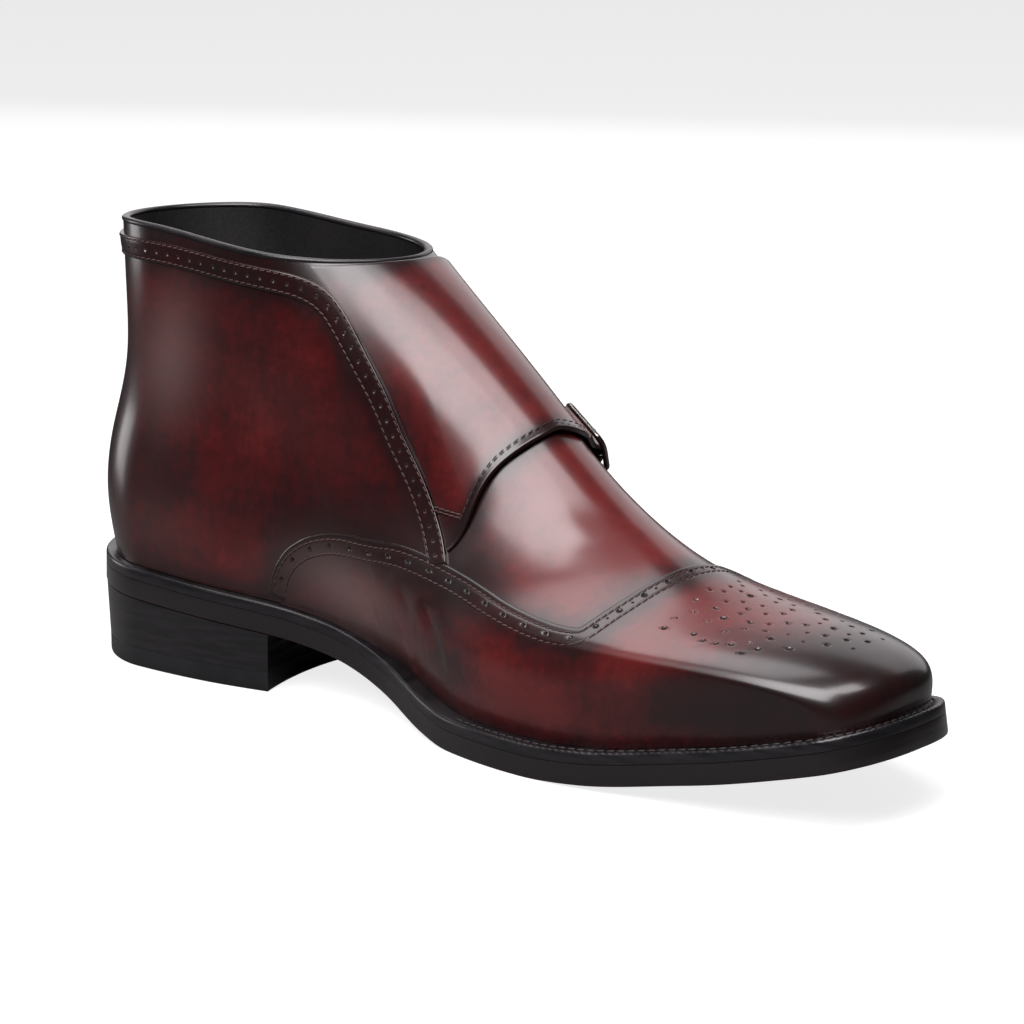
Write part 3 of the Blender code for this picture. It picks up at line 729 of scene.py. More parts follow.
def make_upper(looks):
    """Outer leather of the upper, from welt to collar, with its inner face a leather's thickness inside."""
    columns, rows, inner_rows = 420, 150, 10
    around = ring_turns(columns)
    turn, height = np.meshgrid(around, np.linspace(0, 1, rows), indexing="xy")
    normal = surface_normal(turn, height)
    outer = creased(upper_surface(turn, height), normal, CREASES)
    inner = lining_skin(*np.meshgrid(around, np.linspace(1, 0, inner_rows), indexing="xy"), OUTER_LEATHER)
    points = np.concatenate([outer.reshape(-1, 3), inner.reshape(-1, 3)])
    faces = ring_quads(rows + inner_rows, columns)
    # The dark share holds polish and painted shade, and the pale share is painted sheen.
    shades = {"polish_and_shade": polish_and_shade(points), "bare": painted_sheen(points)}
    piece("upper_leather", points, faces, looks["burgundy"], "burgundy", ["upper"], shades)


def lining_skin(around, height, depth):
    """Points 'depth' mm inside the outer face, level with it at both rims."""
    normal = surface_normal(around, height)
    normal[..., 2] *= np.clip(np.minimum(height / 0.08, (1 - height) / 0.05), 0, 1)
    return upper_surface(around, height) - unit(normal) * depth


def make_lining(looks):
    """Black lining inside the upper leather, a sheet of its own."""
    columns, rows = 200, 60
    around = ring_turns(columns)
    up = lining_skin(*np.meshgrid(around, np.linspace(0.02, 1, rows), indexing="xy"), OUTER_LEATHER + 0.05)
    down = lining_skin(*np.meshgrid(around, np.linspace(1, 0.02, rows), indexing="xy"), WALL)
    points = np.concatenate([up.reshape(-1, 3), down.reshape(-1, 3)])
    faces = ring_quads(2 * rows, columns)
    piece("lining", points, faces, looks["lining"], "black_edge")


def make_collar_roll(looks):
    """Rolled edge over the top of leather and lining: an ellipse carried round the collar line."""
    columns, sides = 480, 14
    around = ring_turns(columns)
    line = upper_surface(around, np.ones(columns))
    run = unit(np.roll(line, -1, axis=0) - np.roll(line, 1, axis=0))
    normal = surface_normal(around, np.ones(columns))
    up = np.cross(run, normal) * np.sign(np.cross(run, normal)[:, 2:])
    middle = line - normal * (WALL / 2 - 0.1)
    angle = ring_turns(sides)
    ring = (middle[None] + 1.35 * np.cos(angle)[:, None, None] * normal[None]
            + 1.0 * np.sin(angle)[:, None, None] * up[None])
    faces = ring_quads(sides, columns)
    piece("collar_roll", ring.reshape(-1, 3), faces, looks["edge"], "dark_burgundy")


def make_backstay(looks):
    """Narrow strip over the heel seam; its half width is a table over height, its edges are rounded."""
    rows, columns = 120, 33
    height = np.linspace(0.004, 0.985, rows)
    half_turn = BACKSTAY.smooth("turn", height) * pi
    share = crowded(columns, 16.0, 1.0) * 2 - 1
    around = half_turn[:, None] * share[None]
    tall = np.broadcast_to(height[:, None], around.shape)
    base = upper_surface(around, tall)
    half_mm = np.linalg.norm(base[:, -1] - base[:, 0], axis=-1) / 2
    inside = (1 - np.abs(share))[None] * half_mm[:, None]
    outer = base + surface_normal(around, tall) * (0.6 - rounded(inside, 0.4))[..., None]
    inner = base + surface_normal(around, tall) * 0.02
    points, faces = slab(outer, inner)
    piece("backstay", points, faces, looks["burgundy"], "burgundy", shades={"polish_and_shade": polish_and_shade(points)})


# --- wing cap and perforated bands

def wing_half_width(reach, length):
    """Half width of the wing band, narrower over the toe."""
    return 3.5 - 0.8 * bell((reach / length, 0.50, 0.11))


def medallion_holes():
    """Plan places and radii of the medallion's holes, both halves."""
    rows = MEDALLION.rows
    station, across, radius = np.concatenate([rows, rows[rows[:, 1] > 0] * (1, -1, 1)]).T
    return np.stack([TOE_MIDDLE.smooth("x", station) + across, CENTRE_Y - station], axis=-1), radius


def sunk(points, normals, middles, radii):
    """Points pushed in under each hole; those close to a rim are moved onto it, so that it is round."""
    points, hole = points.copy(), np.zeros(points.shape[:-1])
    for middle, radius in zip(middles, radii + WELL_MARGIN):
        near = np.linalg.norm(points - middle, axis=-1) < radius + 1.5
        flat, normal = points[near], normals[near]
        away = flat - middle
        away -= normal * (away * normal).sum(1, keepdims=True)
        distance = np.linalg.norm(away, axis=1)
        onto = np.abs(distance - radius) < RIM_REACH
        inside = (distance < radius - 0.2) & ~onto
        flat = flat + np.where(onto[:, None], away * (radius / np.maximum(distance, 1e-6) - 1)[:, None], 0)
        points[near] = flat - np.where(inside[:, None], normal * WELL_DEPTH, 0)
        hole[near] = np.maximum(hole[near], inside * 1.0)
    return points, hole


# Punched hole as a turned cup: distance outside the hole's radius and level, from its lip in to the edge of
# its floor; the last column is the share of bare leather
HOLE_PROFILE = Table("outside level bare", [
    [0.50, -0.08, 0.0], [0.20, 0.035, 0.0], [0.04, 0.00, 0.2], [-0.06, -0.32, 1.0]])


def make_holes(name, points, middles, normals, radii, looks, bare):
    """Cups for punched holes, each bent to a quadratic fitted to the leather's points round it."""
    phase = ring_turns(HOLE_SIDES)
    outside, level, share = HOLE_PROFILE.rows.T
    fall = np.concatenate([level, [CUP_MIDDLE[1], CUP_BACK[1]]])[:, None]
    share = np.concatenate([share, [1.0, 0.0]])[:, None]
    cloud = points.reshape(-1, 3)

    def bend_terms(a, b):
        return np.stack([np.ones_like(a), a, b, a * a, a * b, b * b], axis=-1)

    made = []
    for middle, normal, radius in zip(middles, normals, radii):
        first = unit(np.cross(normal, [0.0, 0.0, 1.0]) + 1e-3)
        second = np.cross(normal, first)
        near = cloud[np.linalg.norm(cloud - middle, axis=1) < BEND_REACH] - middle
        bend = np.linalg.lstsq(bend_terms(near @ first, near @ second), near @ normal, rcond=None)[0]
        rings = np.concatenate([radius + outside, [CUP_MIDDLE[0], radius + CUP_BACK[0]]])[:, None]
        u, v = rings * np.cos(phase), rings * np.sin(phase)
        up = bend_terms(u, v) @ bend + fall
        made.append(middle + u[..., None] * first + v[..., None] * second + up[..., None] * normal)
    made = np.stack(made)
    cell = ring_quads(made.shape[1], HOLE_SIDES)[:, ::-1]
    numbers = np.arange(len(made))[:, None, None] * made.shape[1] * HOLE_SIDES + cell[None]
    places = made.reshape(-1, 3)
    bareness = np.broadcast_to(share * bare, made.shape[:3])
    obj = piece(name, places, numbers.reshape(-1, 4), looks["burgundy"], "burgundy",
                shades={"polish_and_shade": polish_and_shade(places), "bare": np.clip(bareness, 0, 1)})
    # The well faces take the pale leather with its painted highlight when more than half is bare, else the
    # near-black painted shade.
    obj.data.materials.append(looks["bare_leather_and_glint" if bare > 0.5 else "well"])
    ring = cell[:, 0] // HOLE_SIDES
    well = np.tile((ring > 1) & (ring <= len(outside)), len(made)).astype(np.int32)
    obj.data.polygons.foreach_set("material_index", well)


def nearest_index(points, targets):
    """Index of the point nearest to each target."""
    return np.array([((points - target) ** 2).sum(axis=1).argmin() for target in targets])


def gathered(start, end, count, holes):
    """Steps from start to end, seven times closer together within a millimetre and a half of a hole."""
    fine = np.linspace(start, end, 4000)
    gap = np.abs(fine[:, None] - holes[None]).min(axis=1)
    total = np.cumsum(1 + 6 * np.exp(-(gap / 1.5) ** 4))
    return np.interp(np.linspace(total[0], total[-1], count), total, fine)


def make_wing_cap(looks):
    """Wing cap with its perforated band: across the band, then down to the welt.

    Below the band each column takes straight steps in turn and height from the band to its foot on the welt.
    """
    wing = Line(WING_LINE)
    first, middle, last = (wing.reach_of(row) for row in (CAP_VALLEYS[0], CAP_TOP, CAP_VALLEYS[1]))
    near_side = np.arange(first - 1, 3, -WING_HOLE_STEP)
    far_side = np.arange(last + 3, wing.length - 2, WING_HOLE_STEP)
    reach = np.concatenate([gathered(0, first, 113, near_side)[:-1], np.linspace(first, last, 249)[:-1],
                            gathered(last, wing.length, 113, far_side)])
    half = wing_half_width(reach, wing.length)
    over = np.concatenate([[1.0, 0.985, 0.95, 0.90, 0.83], np.linspace(0.75, -1.0, 16)])
    across = over[:, None] * half[None]
    band_turn, band_height = aside(wing, reach, across)
    foot = np.interp(reach, [0, first, middle, last, wing.length], CAP_FOOT_TURNS)
    down = np.concatenate([[0.006, 0.012, 0.018, 0.024], np.linspace(0.030, 0.76, 121),
                           np.linspace(0.76, 1.0, 40)[1:]])[:, None]
    low_turn = band_turn[-1] + (foot * pi - band_turn[-1]) * down ** 1.2
    turn = np.concatenate([band_turn, low_turn])
    tall = np.concatenate([band_height, band_height[-1] * (1 - down)])
    normal = surface_normal(turn, tall)
    base = creased(upper_surface(turn, tall), normal, CREASES)
    inside = np.concatenate([half - across, np.full(low_turn.shape, 9.0)])
    stitched = bell((inside, 2 * half - 0.9, 0.4)) + bell((inside, 1.9, 0.35))
    lift = BAND_LIFT - rounded(inside, 0.6) - 0.10 * stitched
    outer = base + normal * lift[..., None]
    flat = outer.reshape(-1, 3)
    large = np.arange(first + 6.5, last - 3, WING_HOLE_STEP)
    small = np.arange(first + 10.8, last - 7, WING_HOLE_STEP)
    sides = np.concatenate([near_side, far_side])
    band = on_line(wing, np.concatenate([large, small, sides]), -0.15, BAND_LIFT)
    places, radii = medallion_holes()
    index = np.concatenate([nearest_index(flat[:, :2], places), nearest_index(flat, band)])
    radii = np.concatenate([radii, np.repeat([0.95, 0.36, 0.64], [len(large), len(small), len(sides)])])
    middles, directions = flat[index], normal.reshape(-1, 3)[index]
    outer, hole = sunk(outer, normal, middles, radii)
    points, faces = slab(outer, base + normal * 0.04, coarse=4)
    hidden = len(points) - hole.size
    edge = np.concatenate([(1 - ramp(inside, 1.1, 1.6)).ravel(), np.ones(hidden)])
    # The pale share here is painted sheen, and the leather pushed in under each hole is darkened as painted
    # shade.
    shades = {"polish_and_shade": 1 - (1 - polish_and_shade(points)) * (1 - 0.9 * edge),
              "bare": painted_sheen(points) * (1 - 0.7 * edge),
              "punched_shade": np.append(hole.ravel(), np.zeros(hidden))}
    piece("wing_cap", points, faces, looks["burgundy"], "burgundy", shades=shades)
    dark = len(radii) - len(sides)
    for name, part, bare in (("cap_holes", slice(dark), 0.12), ("wing_side_holes", slice(dark, None), 0.5)):
        make_holes(name, flat, middles[part], directions[part], radii[part], looks, bare)


def make_collar_band(looks):
    """Perforated strip between quarter and flap, thinner on the quarter's side."""
    collar = Line(COLLAR_BAND_LINE)
    edge = np.array([1.0, 0.985, 0.95, 0.89])
    over = np.concatenate([edge, np.linspace(0.82, -0.82, 13), -edge[::-1]])
    reach, across = np.meshgrid(np.linspace(0, collar.length, 321), over * COLLAR_BAND_HALF)
    turn, tall = aside(collar, reach, across)
    normal = surface_normal(turn, tall)
    base = upper_surface(turn, tall)
    inside = COLLAR_BAND_HALF - np.abs(across)
    ends = np.minimum(np.minimum(reach, collar.length - reach), inside)
    stitched = bell((inside, 0.75, 0.3))
    lift = 1.0 + 0.1 * across - rounded(ends, 0.45) - 0.10 * stitched
    outer = base + normal * lift[..., None]
    flat = outer.reshape(-1, 3)
    places = np.arange(3.0, collar.length - 2.0, COLLAR_HOLE_STEP)
    index = nearest_index(flat, on_line(collar, places, 0.0, 1.0))
    radii = np.full(len(index), 0.55)
    middles, directions = flat[index], normal.reshape(-1, 3)[index]
    outer, hole = sunk(outer, normal, middles, radii)
    points, faces = slab(outer, base + normal * 0.04, coarse=4)
    # The band's dark tone is its own polish; the leather pushed in under its holes is darkened as painted
    # shade.
    shades = {"polish_and_shade": 1 - 0.42 * (1 - 0.6 * polish_and_shade(points)),
              "punched_shade": np.append(hole.ravel(), np.zeros(len(points) - hole.size))}
    piece("collar_band", points, faces, looks["burgundy"], "burgundy", shades=shades)
    make_holes("collar_holes", flat, middles, directions, radii, looks, 0.9)


# --- flap, straps and buckles

def make_flap(looks):
    """Medial flap: a patch between its four edges, skived at the band and standing off at its front edge."""
    down, across = np.meshgrid(crowded(133, FLAP_TALL), crowded(201, FLAP_WIDE), indexing="ij")
    around, height = flap_place(across, down)
    normal = surface_normal(around, height)
    base = upper_surface(around, height)
    to_back, to_side, to_front, to_top = (np.linalg.norm(base - edge, axis=-1)
                                          for edge in (base[:, :1], base[:, -1:], base[-1:], base[:1]))
    outline = np.minimum(to_side, to_front)
    low = GAP + 0.9 * np.exp(-to_front / 3.0) * ramp(to_back, 4, 20)
    thick = LEATHER * (0.4 + 0.6 * ramp(to_back, 1, 14))
    high = low + thick - rounded(np.minimum(outline, to_top), 0.9) * thick / LEATHER
    points, faces = slab(base + normal * high[..., None], base + normal * low[..., None], coarse=4)
    faded = 2.5 + 4.0 * ramp(-base[..., 0], 2, 24)
    dark = np.maximum(bell((outline, 0, 4.5)), 0.9 * bell((to_top, 0, faded)))
    shade = np.concatenate([dark.ravel(), dark[::4, ::4].ravel()])
    piece("monk_flap_leather", points, faces, looks["burgundy"], "burgundy", ["monk_flap"],
          {"polish_and_shade": 1 - (1 - 0.75 * polish_and_shade(points)) * (1 - 0.8 * shade)})


def strap_half(reach, end):
    """Half width of a strap, rounded to its point by a power of a sine."""
    to_tip = np.clip((end - reach) / STRAP_TIP_LENGTH, 0, 1)
    return 0.3 + (STRAP_HALF_WIDTH - 0.3) * np.sin(to_tip * pi / 2) ** 0.72


def make_strap(which, looks):
    """Strap woven through its buckle, with rounded edges."""
    line, end = strap_line(which), STRAP_END[which]
    tip = end - STRAP_TIP_LENGTH * (np.linspace(1, 0, 26) ** 2.2)
    reach = np.concatenate([np.arange(STRAP_ROOT + GAP, end - STRAP_TIP_LENGTH, 0.45), tip])
    half = strap_half(reach, end)
    share = crowded(41, 15.0, 1.2) * 2 - 1
    across = half[:, None] * share[None]
    along = np.broadcast_to(reach[:, None], across.shape)
    low = strap_under(along)
    inside = np.minimum((half[:, None] - np.abs(across)), (end - along) * 1.1)
    high = low + LEATHER - rounded(inside, 0.7)
    outer, inner = on_line(line, along, across, high), on_line(line, along, across, low)
    points, faces = slab(outer, inner)
    to_edge = np.concatenate([inside.ravel(), inside.ravel()])
    dark = 0.20 + 0.45 * bell((to_edge, 0, 1.6)) + 0.2 * bell((np.tile(along.ravel(), 2), 0, 6.0))
    under = np.repeat([0.0, 1.0], inside.size)
    shades = {"polish_and_shade": np.clip(dark, 0, 1), "bare": 0.45 * np.clip((to_edge < 0.1) + under, 0, 1)}
    piece("strap_" + which + "_leather", points, faces, looks["burgundy"], "dark_burgundy",
          ["strap_" + which], shades, merge=0.001)


def tube(line, reach, across, level, wide, tall, closed=False):
    """Rod on the upper's surface: an ellipse carried along a path of reach, across and level."""

    def run(values):
        return np.roll(values, -1) - np.roll(values, 1) if closed else np.gradient(values)

    run_r, run_a = run(reach), run(across)
    size = np.hypot(run_r, run_a)
    angle = ring_turns(TUBE_SIDES)
    wide, tall = (np.broadcast_to(value, reach.shape)[:, None] for value in (wide, tall))
    r = reach[:, None] + (run_a / size)[:, None] * np.cos(angle) * wide / 2
    a = across[:, None] + (-run_r / size)[:, None] * np.cos(angle) * wide / 2
    return on_line(line, r, a, level[:, None] + np.sin(angle) * tall / 2)


def frame_path(half_r, half_a, corner):
    """Reach and across of evenly spaced places round a rectangle with round corners."""
    angle = np.linspace(0, pi / 2, 9)
    arc = corner * np.stack([np.cos(angle), np.sin(angle)], 1)
    arcs = [(np.array([half_r - corner, half_a - corner]) + arc[::x * y]) * (x, y)
            for x, y in ((1, 1), (-1, 1), (-1, -1), (1, -1))]
    corners = np.concatenate(arcs + [arcs[0][:1]])
    steps = travelled(corners)
    even = np.linspace(0, steps[-1], FRAME_RINGS + 1)[:-1]
    return np.interp(even, steps, corners[:, 0]), np.interp(even, steps, corners[:, 1])


def make_buckle(which, looks):
    """Rectangular frame with round corners, its centre bar, the prong and the chape under the strap."""
    line, metal, count = strap_line(which), looks["nickel"], 40
    half_a, middle = FRAME_HALF_WIDTH - BAR / 2, FRAME_LOW + FRAME_THICK / 2
    reach, across = frame_path(FRAME_HALF_LENGTH - BAR / 2, half_a, FRAME_CORNER)
    rings = tube(line, reach, across, np.full(reach.shape, middle), BAR, FRAME_THICK, closed=True)
    piece("buckle_" + which + "_frame", rings.reshape(-1, 3), ring_quads(FRAME_RINGS, TUBE_SIDES), metal,
          "dark_nickel", ["buckle_" + which], crease_angle=0)
    across = np.linspace(-half_a, half_a, count)
    sag = middle - CENTRE_BAR_DROP + CENTRE_BAR_DROP * ramp(np.abs(across), STRAP_HALF_WIDTH + 0.2, half_a)
    bar = closed_tube(tube(line, np.zeros(count), across, sag, 1.7, 1.7))
    piece("buckle_" + which + "_bar", *bar, metal, "dark_nickel", crease_angle=0, merge=0.001)
    reach, share = np.linspace(-BAR, FRAME_HALF_LENGTH + 0.6, count), np.linspace(0, 1, count)
    level = prong_under(reach) + 0.65 + 0.5 * np.sin(share * pi) * 0.4
    prong = closed_tube(tube(line, reach, np.zeros(count), level, 1.6 - 0.5 * share, 1.3 - 0.45 * share ** 2))
    piece("prong_" + which + "_pin", *prong, metal, "dark_nickel", ["prong_" + which], crease_angle=0,
          merge=0.001)
    length = CHAPE_END + BAR
    along, side = np.meshgrid(crowded(count, length, 0.8) * length - BAR,
                              (crowded(21, 12.0, 0.8) * 2 - 1) * CHAPE_HALF_WIDTH, indexing="ij")
    inside = np.minimum(CHAPE_HALF_WIDTH - np.abs(side), np.minimum(along + BAR, CHAPE_END - along))
    top = GAP + chape_thick(along) - rounded(inside, 0.35)
    points, faces = slab(on_line(line, along, side, top), on_line(line, along, side, GAP))
    piece("chape_" + which + "_leather", points, faces, looks["burgundy"], "dark_burgundy",
          ["chape_" + which], {"polish_and_shade": np.full(len(points), 0.85)})


def closed_tube(rings):
    """Points and faces of a rod whose end rings are drawn together to a point."""
    ends = [np.broadcast_to(rings[k].mean(axis=0), rings[k].shape) for k in (0, -1)]
    rings = np.concatenate([ends[0][None], rings, ends[1][None]])
    return rings.reshape(-1, 3), grid_quads(rings.shape[0], rings.shape[1], round_columns=True)


# --- sole and heel

def ladder(count):
    """Faces across a loop, from its lateral to its medial half, facing down."""
    half = count // 2
    k = np.arange(1, half - 1)
    rungs = np.stack([k, k + 1, count - k - 1, count - k], axis=-1)
    return [np.array([[0, 1, count - 1], [half - 1, half, half + 1]]), rungs]


def edge_loop(around, inset, above):
    """Loop 'inset' mm inside the sole's outer edge and 'above' mm over its underside."""
    station = CENTRE_Y - upper_surface(around, 0.0)[..., 1]
    return raised(plan_loop(around, edge_margin(station) - inset), above)


def stacked(loops):
    """Points and faces of a solid through loops listed up its outside, closed by ladders."""
    count = len(loops[0])
    top = (len(loops) - 1) * count
    faces = [grid_quads(len(loops), count, round_columns=True)]
    faces += ladder(count) + [top + group[:, ::-1] for group in ladder(count)]
    return np.concatenate(loops), faces


OUTSOLE_PROFILE = Table("inset above", [
    [9.0, 0.00], [7.4, 0.00], [6.3, 0.00], [6.05, 0.12], [5.85, 0.45], [5.25, 0.45], [5.05, 0.12],
    [4.8, 0.00], [3.2, 0.00], [1.2, 0.01], [0.5, 0.06], [0.15, 0.28], [0.0, 0.8], [0.0, 2.8],
    [0.0, 4.4], [0.0, 6.0], [0.03, 6.25], [0.16, 6.33]])

WELT_PROFILE = Table("inset above", [
    [0.16, 6.40], [0.03, 6.46], [0.0, 6.7], [0.0, 7.4], [0.0, 8.9], [0.12, 9.4], [0.4, 9.72],
    [0.9, 9.85], [1.5, 9.80], [2.2, 9.70]])

HEEL_PROFILE = Table("share inset", [
    [0.000, 0.12], [0.010, 0.02], [0.040, 0.00], [0.315, 0.00], [0.325, 0.03], [0.335, 0.00],
    [0.635, 0.00], [0.645, 0.03], [0.655, 0.00], [0.970, 0.00], [1.000, 0.06]])

LIFT_PROFILE = Table("level inset", [
    [0.00, 1.00], [0.12, 0.55], [0.45, 0.15], [1.00, 0.00], [3.00, 0.00], [5.80, 0.00],
    [6.00, 0.02], [6.06, 0.12]])


def make_outsole(looks):
    """Leather outsole: a profile carried round its edge, with the sunk channel of the sole stitching."""
    around = ring_turns(900)
    loops = [edge_loop(around, inset, above) for inset, above in OUTSOLE_PROFILE.rows]
    points, faces = stacked(loops)
    inset, above = np.repeat(OUTSOLE_PROFILE.rows, 900, axis=0).T
    black = ramp(above, 0.1, 0.6) * (inset < 4) + 0.55 * ramp(-inset, -4.6, -1.2)
    channel = (inset > 4.9) * (inset < 6.2) * (above > 0.05)
    shades = {"waxed": np.clip(black, 0, 1), "channel": channel * 1.0}
    piece("outsole_leather", points, faces, looks["sole"], "dark_burgundy", ["outsole"], shades)


def even_turns(count):
    """Turns that space places evenly along the sole's edge, and the length of that edge."""
    around = np.linspace(0, 2 * pi, 4001)
    run = travelled(sole_edge(around))
    return np.interp(np.arange(count) * run[-1] / count, run, around), run[-1]


def make_welt(looks):
    """Welt: a profile carried round the edge, its top wheeled with small cross marks round the forepart."""
    count = 2160
    around, length = even_turns(count)
    fore = ramp(np.abs(around - pi), 0.50 * pi, 0.36 * pi)
    wheel = 0.06 * np.sin(np.arange(count) * length / count * 2 * pi / 2.2) * fore
    loops = []
    for inset, above in WELT_PROFILE.rows:
        marked = above + wheel * (0.3 < inset) * (inset < 2.0)
        loops.append(edge_loop(around, inset, marked))
    hole = plan_loop(around, np.full(count, -WELT_WIDTH_UNDER))
    loops += [raised(hole, EDGE_THICK), raised(hole, EDGE_THICK - WELT_THICK)]
    faces = ring_quads(len(loops), count)
    piece("welt_leather", np.concatenate(loops), faces, looks["edge"], "black_edge", ["welt"])


def heel_outline(inset):
    """Plan loop of the heel: round back and sides on the sole's edge, then the hollow breast."""
    side, front = 120, 61
    lateral = sole_edge(np.linspace(0, BREAST_AROUND["lateral"], side))
    medial = sole_edge(2 * pi - np.linspace(0, BREAST_AROUND["medial"], side))
    share = np.linspace(0, 1, front)[1:-1, None]
    breast = lateral[-1] + (medial[-1] - lateral[-1]) * share
    breast[:, 1] += BREAST_HOLLOW * (1 - (2 * share[:, 0] - 1) ** 2)
    loop = np.concatenate([lateral, breast, medial[:0:-1]])
    return loop - unit(loop - loop.mean(axis=0)) * inset


def middle_ring(loop):
    """Small round ring in a loop's middle, each point straight in from one of the loop's."""
    ring, middle = loop.copy(), loop[:, :2].mean(axis=0)
    ring[:, :2] = middle + HEEL_MIDDLE * unit(loop[:, :2] - middle)
    return ring


def make_heel(looks):
    """Stack of heel layers with fine joints, and the rubber top lift."""

    def crown(loop):
        return bottom(CENTRE_Y - loop[:, 1]) - 0.06

    low, loops = TOP_LIFT_THICK + 0.10, []
    for share, inset in HEEL_PROFILE.rows:
        loop = heel_outline(inset + HEEL_INSET * (1 - share))
        loop[:, 2] = low + (crown(loop) - low) * share
        loops.append(loop)
    top = middle_ring(loops[-1])
    top[:, 2] = crown(top)
    piece("heel_layers", *stacked([middle_ring(loops[0]), *loops, top]), looks["edge"], "black_edge",
          ["heel_stack"])
    loops = []
    for level, inset in LIFT_PROFILE.rows:
        loop = heel_outline(inset + HEEL_INSET)
        loop[:, 2] = level
        loops.append(loop)
    points, faces = stacked([middle_ring(loops[0]), *loops, middle_ring(loops[-1])])
    piece("top_lift_rubber", points, faces, looks["rubber"], "black_rubber", ["top_lift"])


def make_sock(looks):
    """Insole and its sock, slightly dished towards the middle."""
    around = ring_turns(360)
    loops = []
    for inset, above in ((0.0, 10.0), (0.0, 13.2), (0.6, 13.8), (3.0, 13.3), (7.0, 13.0), (12.0, 12.9)):
        loops.append(raised(plan_loop(around, np.full(360, -WALL - 0.3 - inset)), above))
    piece("insole_sock", *stacked(loops), looks["sock"], "tan_leather", ["insole"])


# --- stitching

def edge_row(first, last, inset, above, pitch, up):
    """Stitches along the sole's edge between two turns; up is 1 on its upper side and -1 on its lower."""
    around, length = even_turns(EDGE_PLACES)
    runs = np.arange(EDGE_PLACES) * length / EDGE_PLACES
    start, end = np.interp([first * pi, last * pi], around, runs)
    count = int((end - start) / pitch)
    run = start + (np.arange(count) + 0.5) * pitch
    centre = edge_loop(np.interp(run, runs, around), inset, above)
    along = edge_loop(np.interp(run + 0.5, runs, around), inset, above) - centre
    up = np.tile([0.0, 0.0, up], (count, 1))
    return centre, unit(along) + 0.15 * unit(np.cross(up, along)), up


def flap_run(edge, inside):
    """Line on the flap, 'inside' mm within its front or its side edge."""
    share = np.linspace(0.02, 0.98, 30)
    fixed = np.full(30, 1 - inside / (FLAP_TALL if edge == "front" else FLAP_WIDE))
    around, height = flap_place(share, fixed) if edge == "front" else flap_place(fixed, share)
    return Line(np.stack([around / pi, height], axis=-1))


def strap_rows(which, end):
    """Stitches round a strap's free end, a fixed step inside its edge."""
    line, inset = strap_line(which), 1.7
    tip = end - inset - (STRAP_TIP_LENGTH - inset) * np.cos(np.linspace(0.3, pi / 2 - 0.05, 4))
    reach = np.sort(np.concatenate([np.arange(9.5, end - STRAP_TIP_LENGTH, 2.3), tip]))
    lift = strap_under(reach) + LEATHER + 0.02

    def half(at):
        return np.maximum(strap_half(at, end) - inset * 1.15, 0.0)

    rows = []
    for side in (-1, 1):
        centre = on_line(line, reach, side * half(reach), lift)
        ahead = on_line(line, reach + 0.6, side * half(reach + 0.6), lift)
        above = on_line(line, reach, side * half(reach), lift + 1.0) - centre
        rows.append((centre, unit(ahead - centre), above))
    return rows


def make_stitching(looks):
    """Rows of stitches: capsules set along lines on the wing, bands, collar, flap, straps, welt and sole."""
    thread, dark = looks["thread"], looks["dark_thread"]
    wing, collar = Line(WING_LINE), Line(COLLAR_BAND_LINE)
    front, side = flap_run("front", 2.6), flap_run("side", 2.2)
    rim = Line([[turn, 0.975] for turn in np.linspace(0.14, 0.70, 12)])
    bar = Line([[1.340 - 0.032 * step / 5, 0.601 - 0.008 * step / 5] for step in range(6)])
    top = GAP + LEATHER
    rows = [stitch_row(wing, 2, wing.length - 2, 2.3, across, 0.84)
            for across in (lambda at: wing_half_width(at, wing.length) - 1.9,
                           lambda at: 0.9 - wing_half_width(at, wing.length))]
    sew("wing_stitching", rows, thread, "burgundy")
    rows = [stitch_row(collar, 1, collar.length - 1, 2.4, across, lift)
            for across, lift in ((2.55, 1.24), (-2.55, 0.74))]
    sew("collar_band_stitching", rows, thread, "burgundy")
    sew("collar_stitching", [stitch_row(rim, 1, rim.length - 1, 2.4, 0.0, 0.06)], dark, "burgundy")
    rows = [stitch_row(front, 6, front.length - 2, 2.4, 0.0, top + 0.95),
            stitch_row(side, 2, side.length - 2, 2.4, 0.0, top + 0.08)]
    sew("flap_stitching", rows, dark, "burgundy", (STITCH_LENGTH, 0.44, 0.36))
    rows = [stitch_row(bar, 0.2, bar.length - 0.2, 1.9, across, 1.5) for across in (-0.5, 0.5)]
    sew("flap_bar_stitching", rows, thread, "burgundy")
    for which, end in STRAP_END.items():
        sew("strap_" + which + "_stitching", strap_rows(which, end), thread, "dark_burgundy",
            (1.9, 0.5, 0.36))
    rows = [edge_row(0.52, 1.46, 2.7, EDGE_THICK + 0.08, 3.2, 1.0)]
    sew("welt_stitching", rows, dark, "black_edge", (2.5, 0.75, 0.6))
    rows = [edge_row(0.36, 1.64, 5.55, 0.32, 3.3, -1.0)]
    sew("sole_stitching", rows, looks["sole_thread"], "dark_burgundy", (2.7, 0.8, 0.7))


# --- finishes

def add(tree, kind, values=None, **settings):
    """A shader node; each value sets a socket, or is linked to it if it is a socket itself."""
    made = tree.nodes.new("ShaderNode" + kind)
    for key, value in settings.items():
        setattr(made, key, value)
    for key, value in (values or {}).items():
        if isinstance(value, bpy.types.NodeSocket):
            tree.links.new(value, made.inputs[key])
        else:
            made.inputs[key].default_value = value
    return made


def noise(tree, scale, detail=4.0, rough=0.55, stretch=(1, 1, 1)):
    """Noise on the piece's own coordinates, in lumps per metre, stretched along an axis."""
    place = add(tree, "TexCoord").outputs["Object"]
    mapped = add(tree, "Mapping", {"Vector": place, "Scale": stretch}).outputs["Vector"]
    values = {"Vector": mapped, "Scale": scale, "Detail": detail, "Roughness": rough}
    return add(tree, "TexNoise", values).outputs["Fac"]


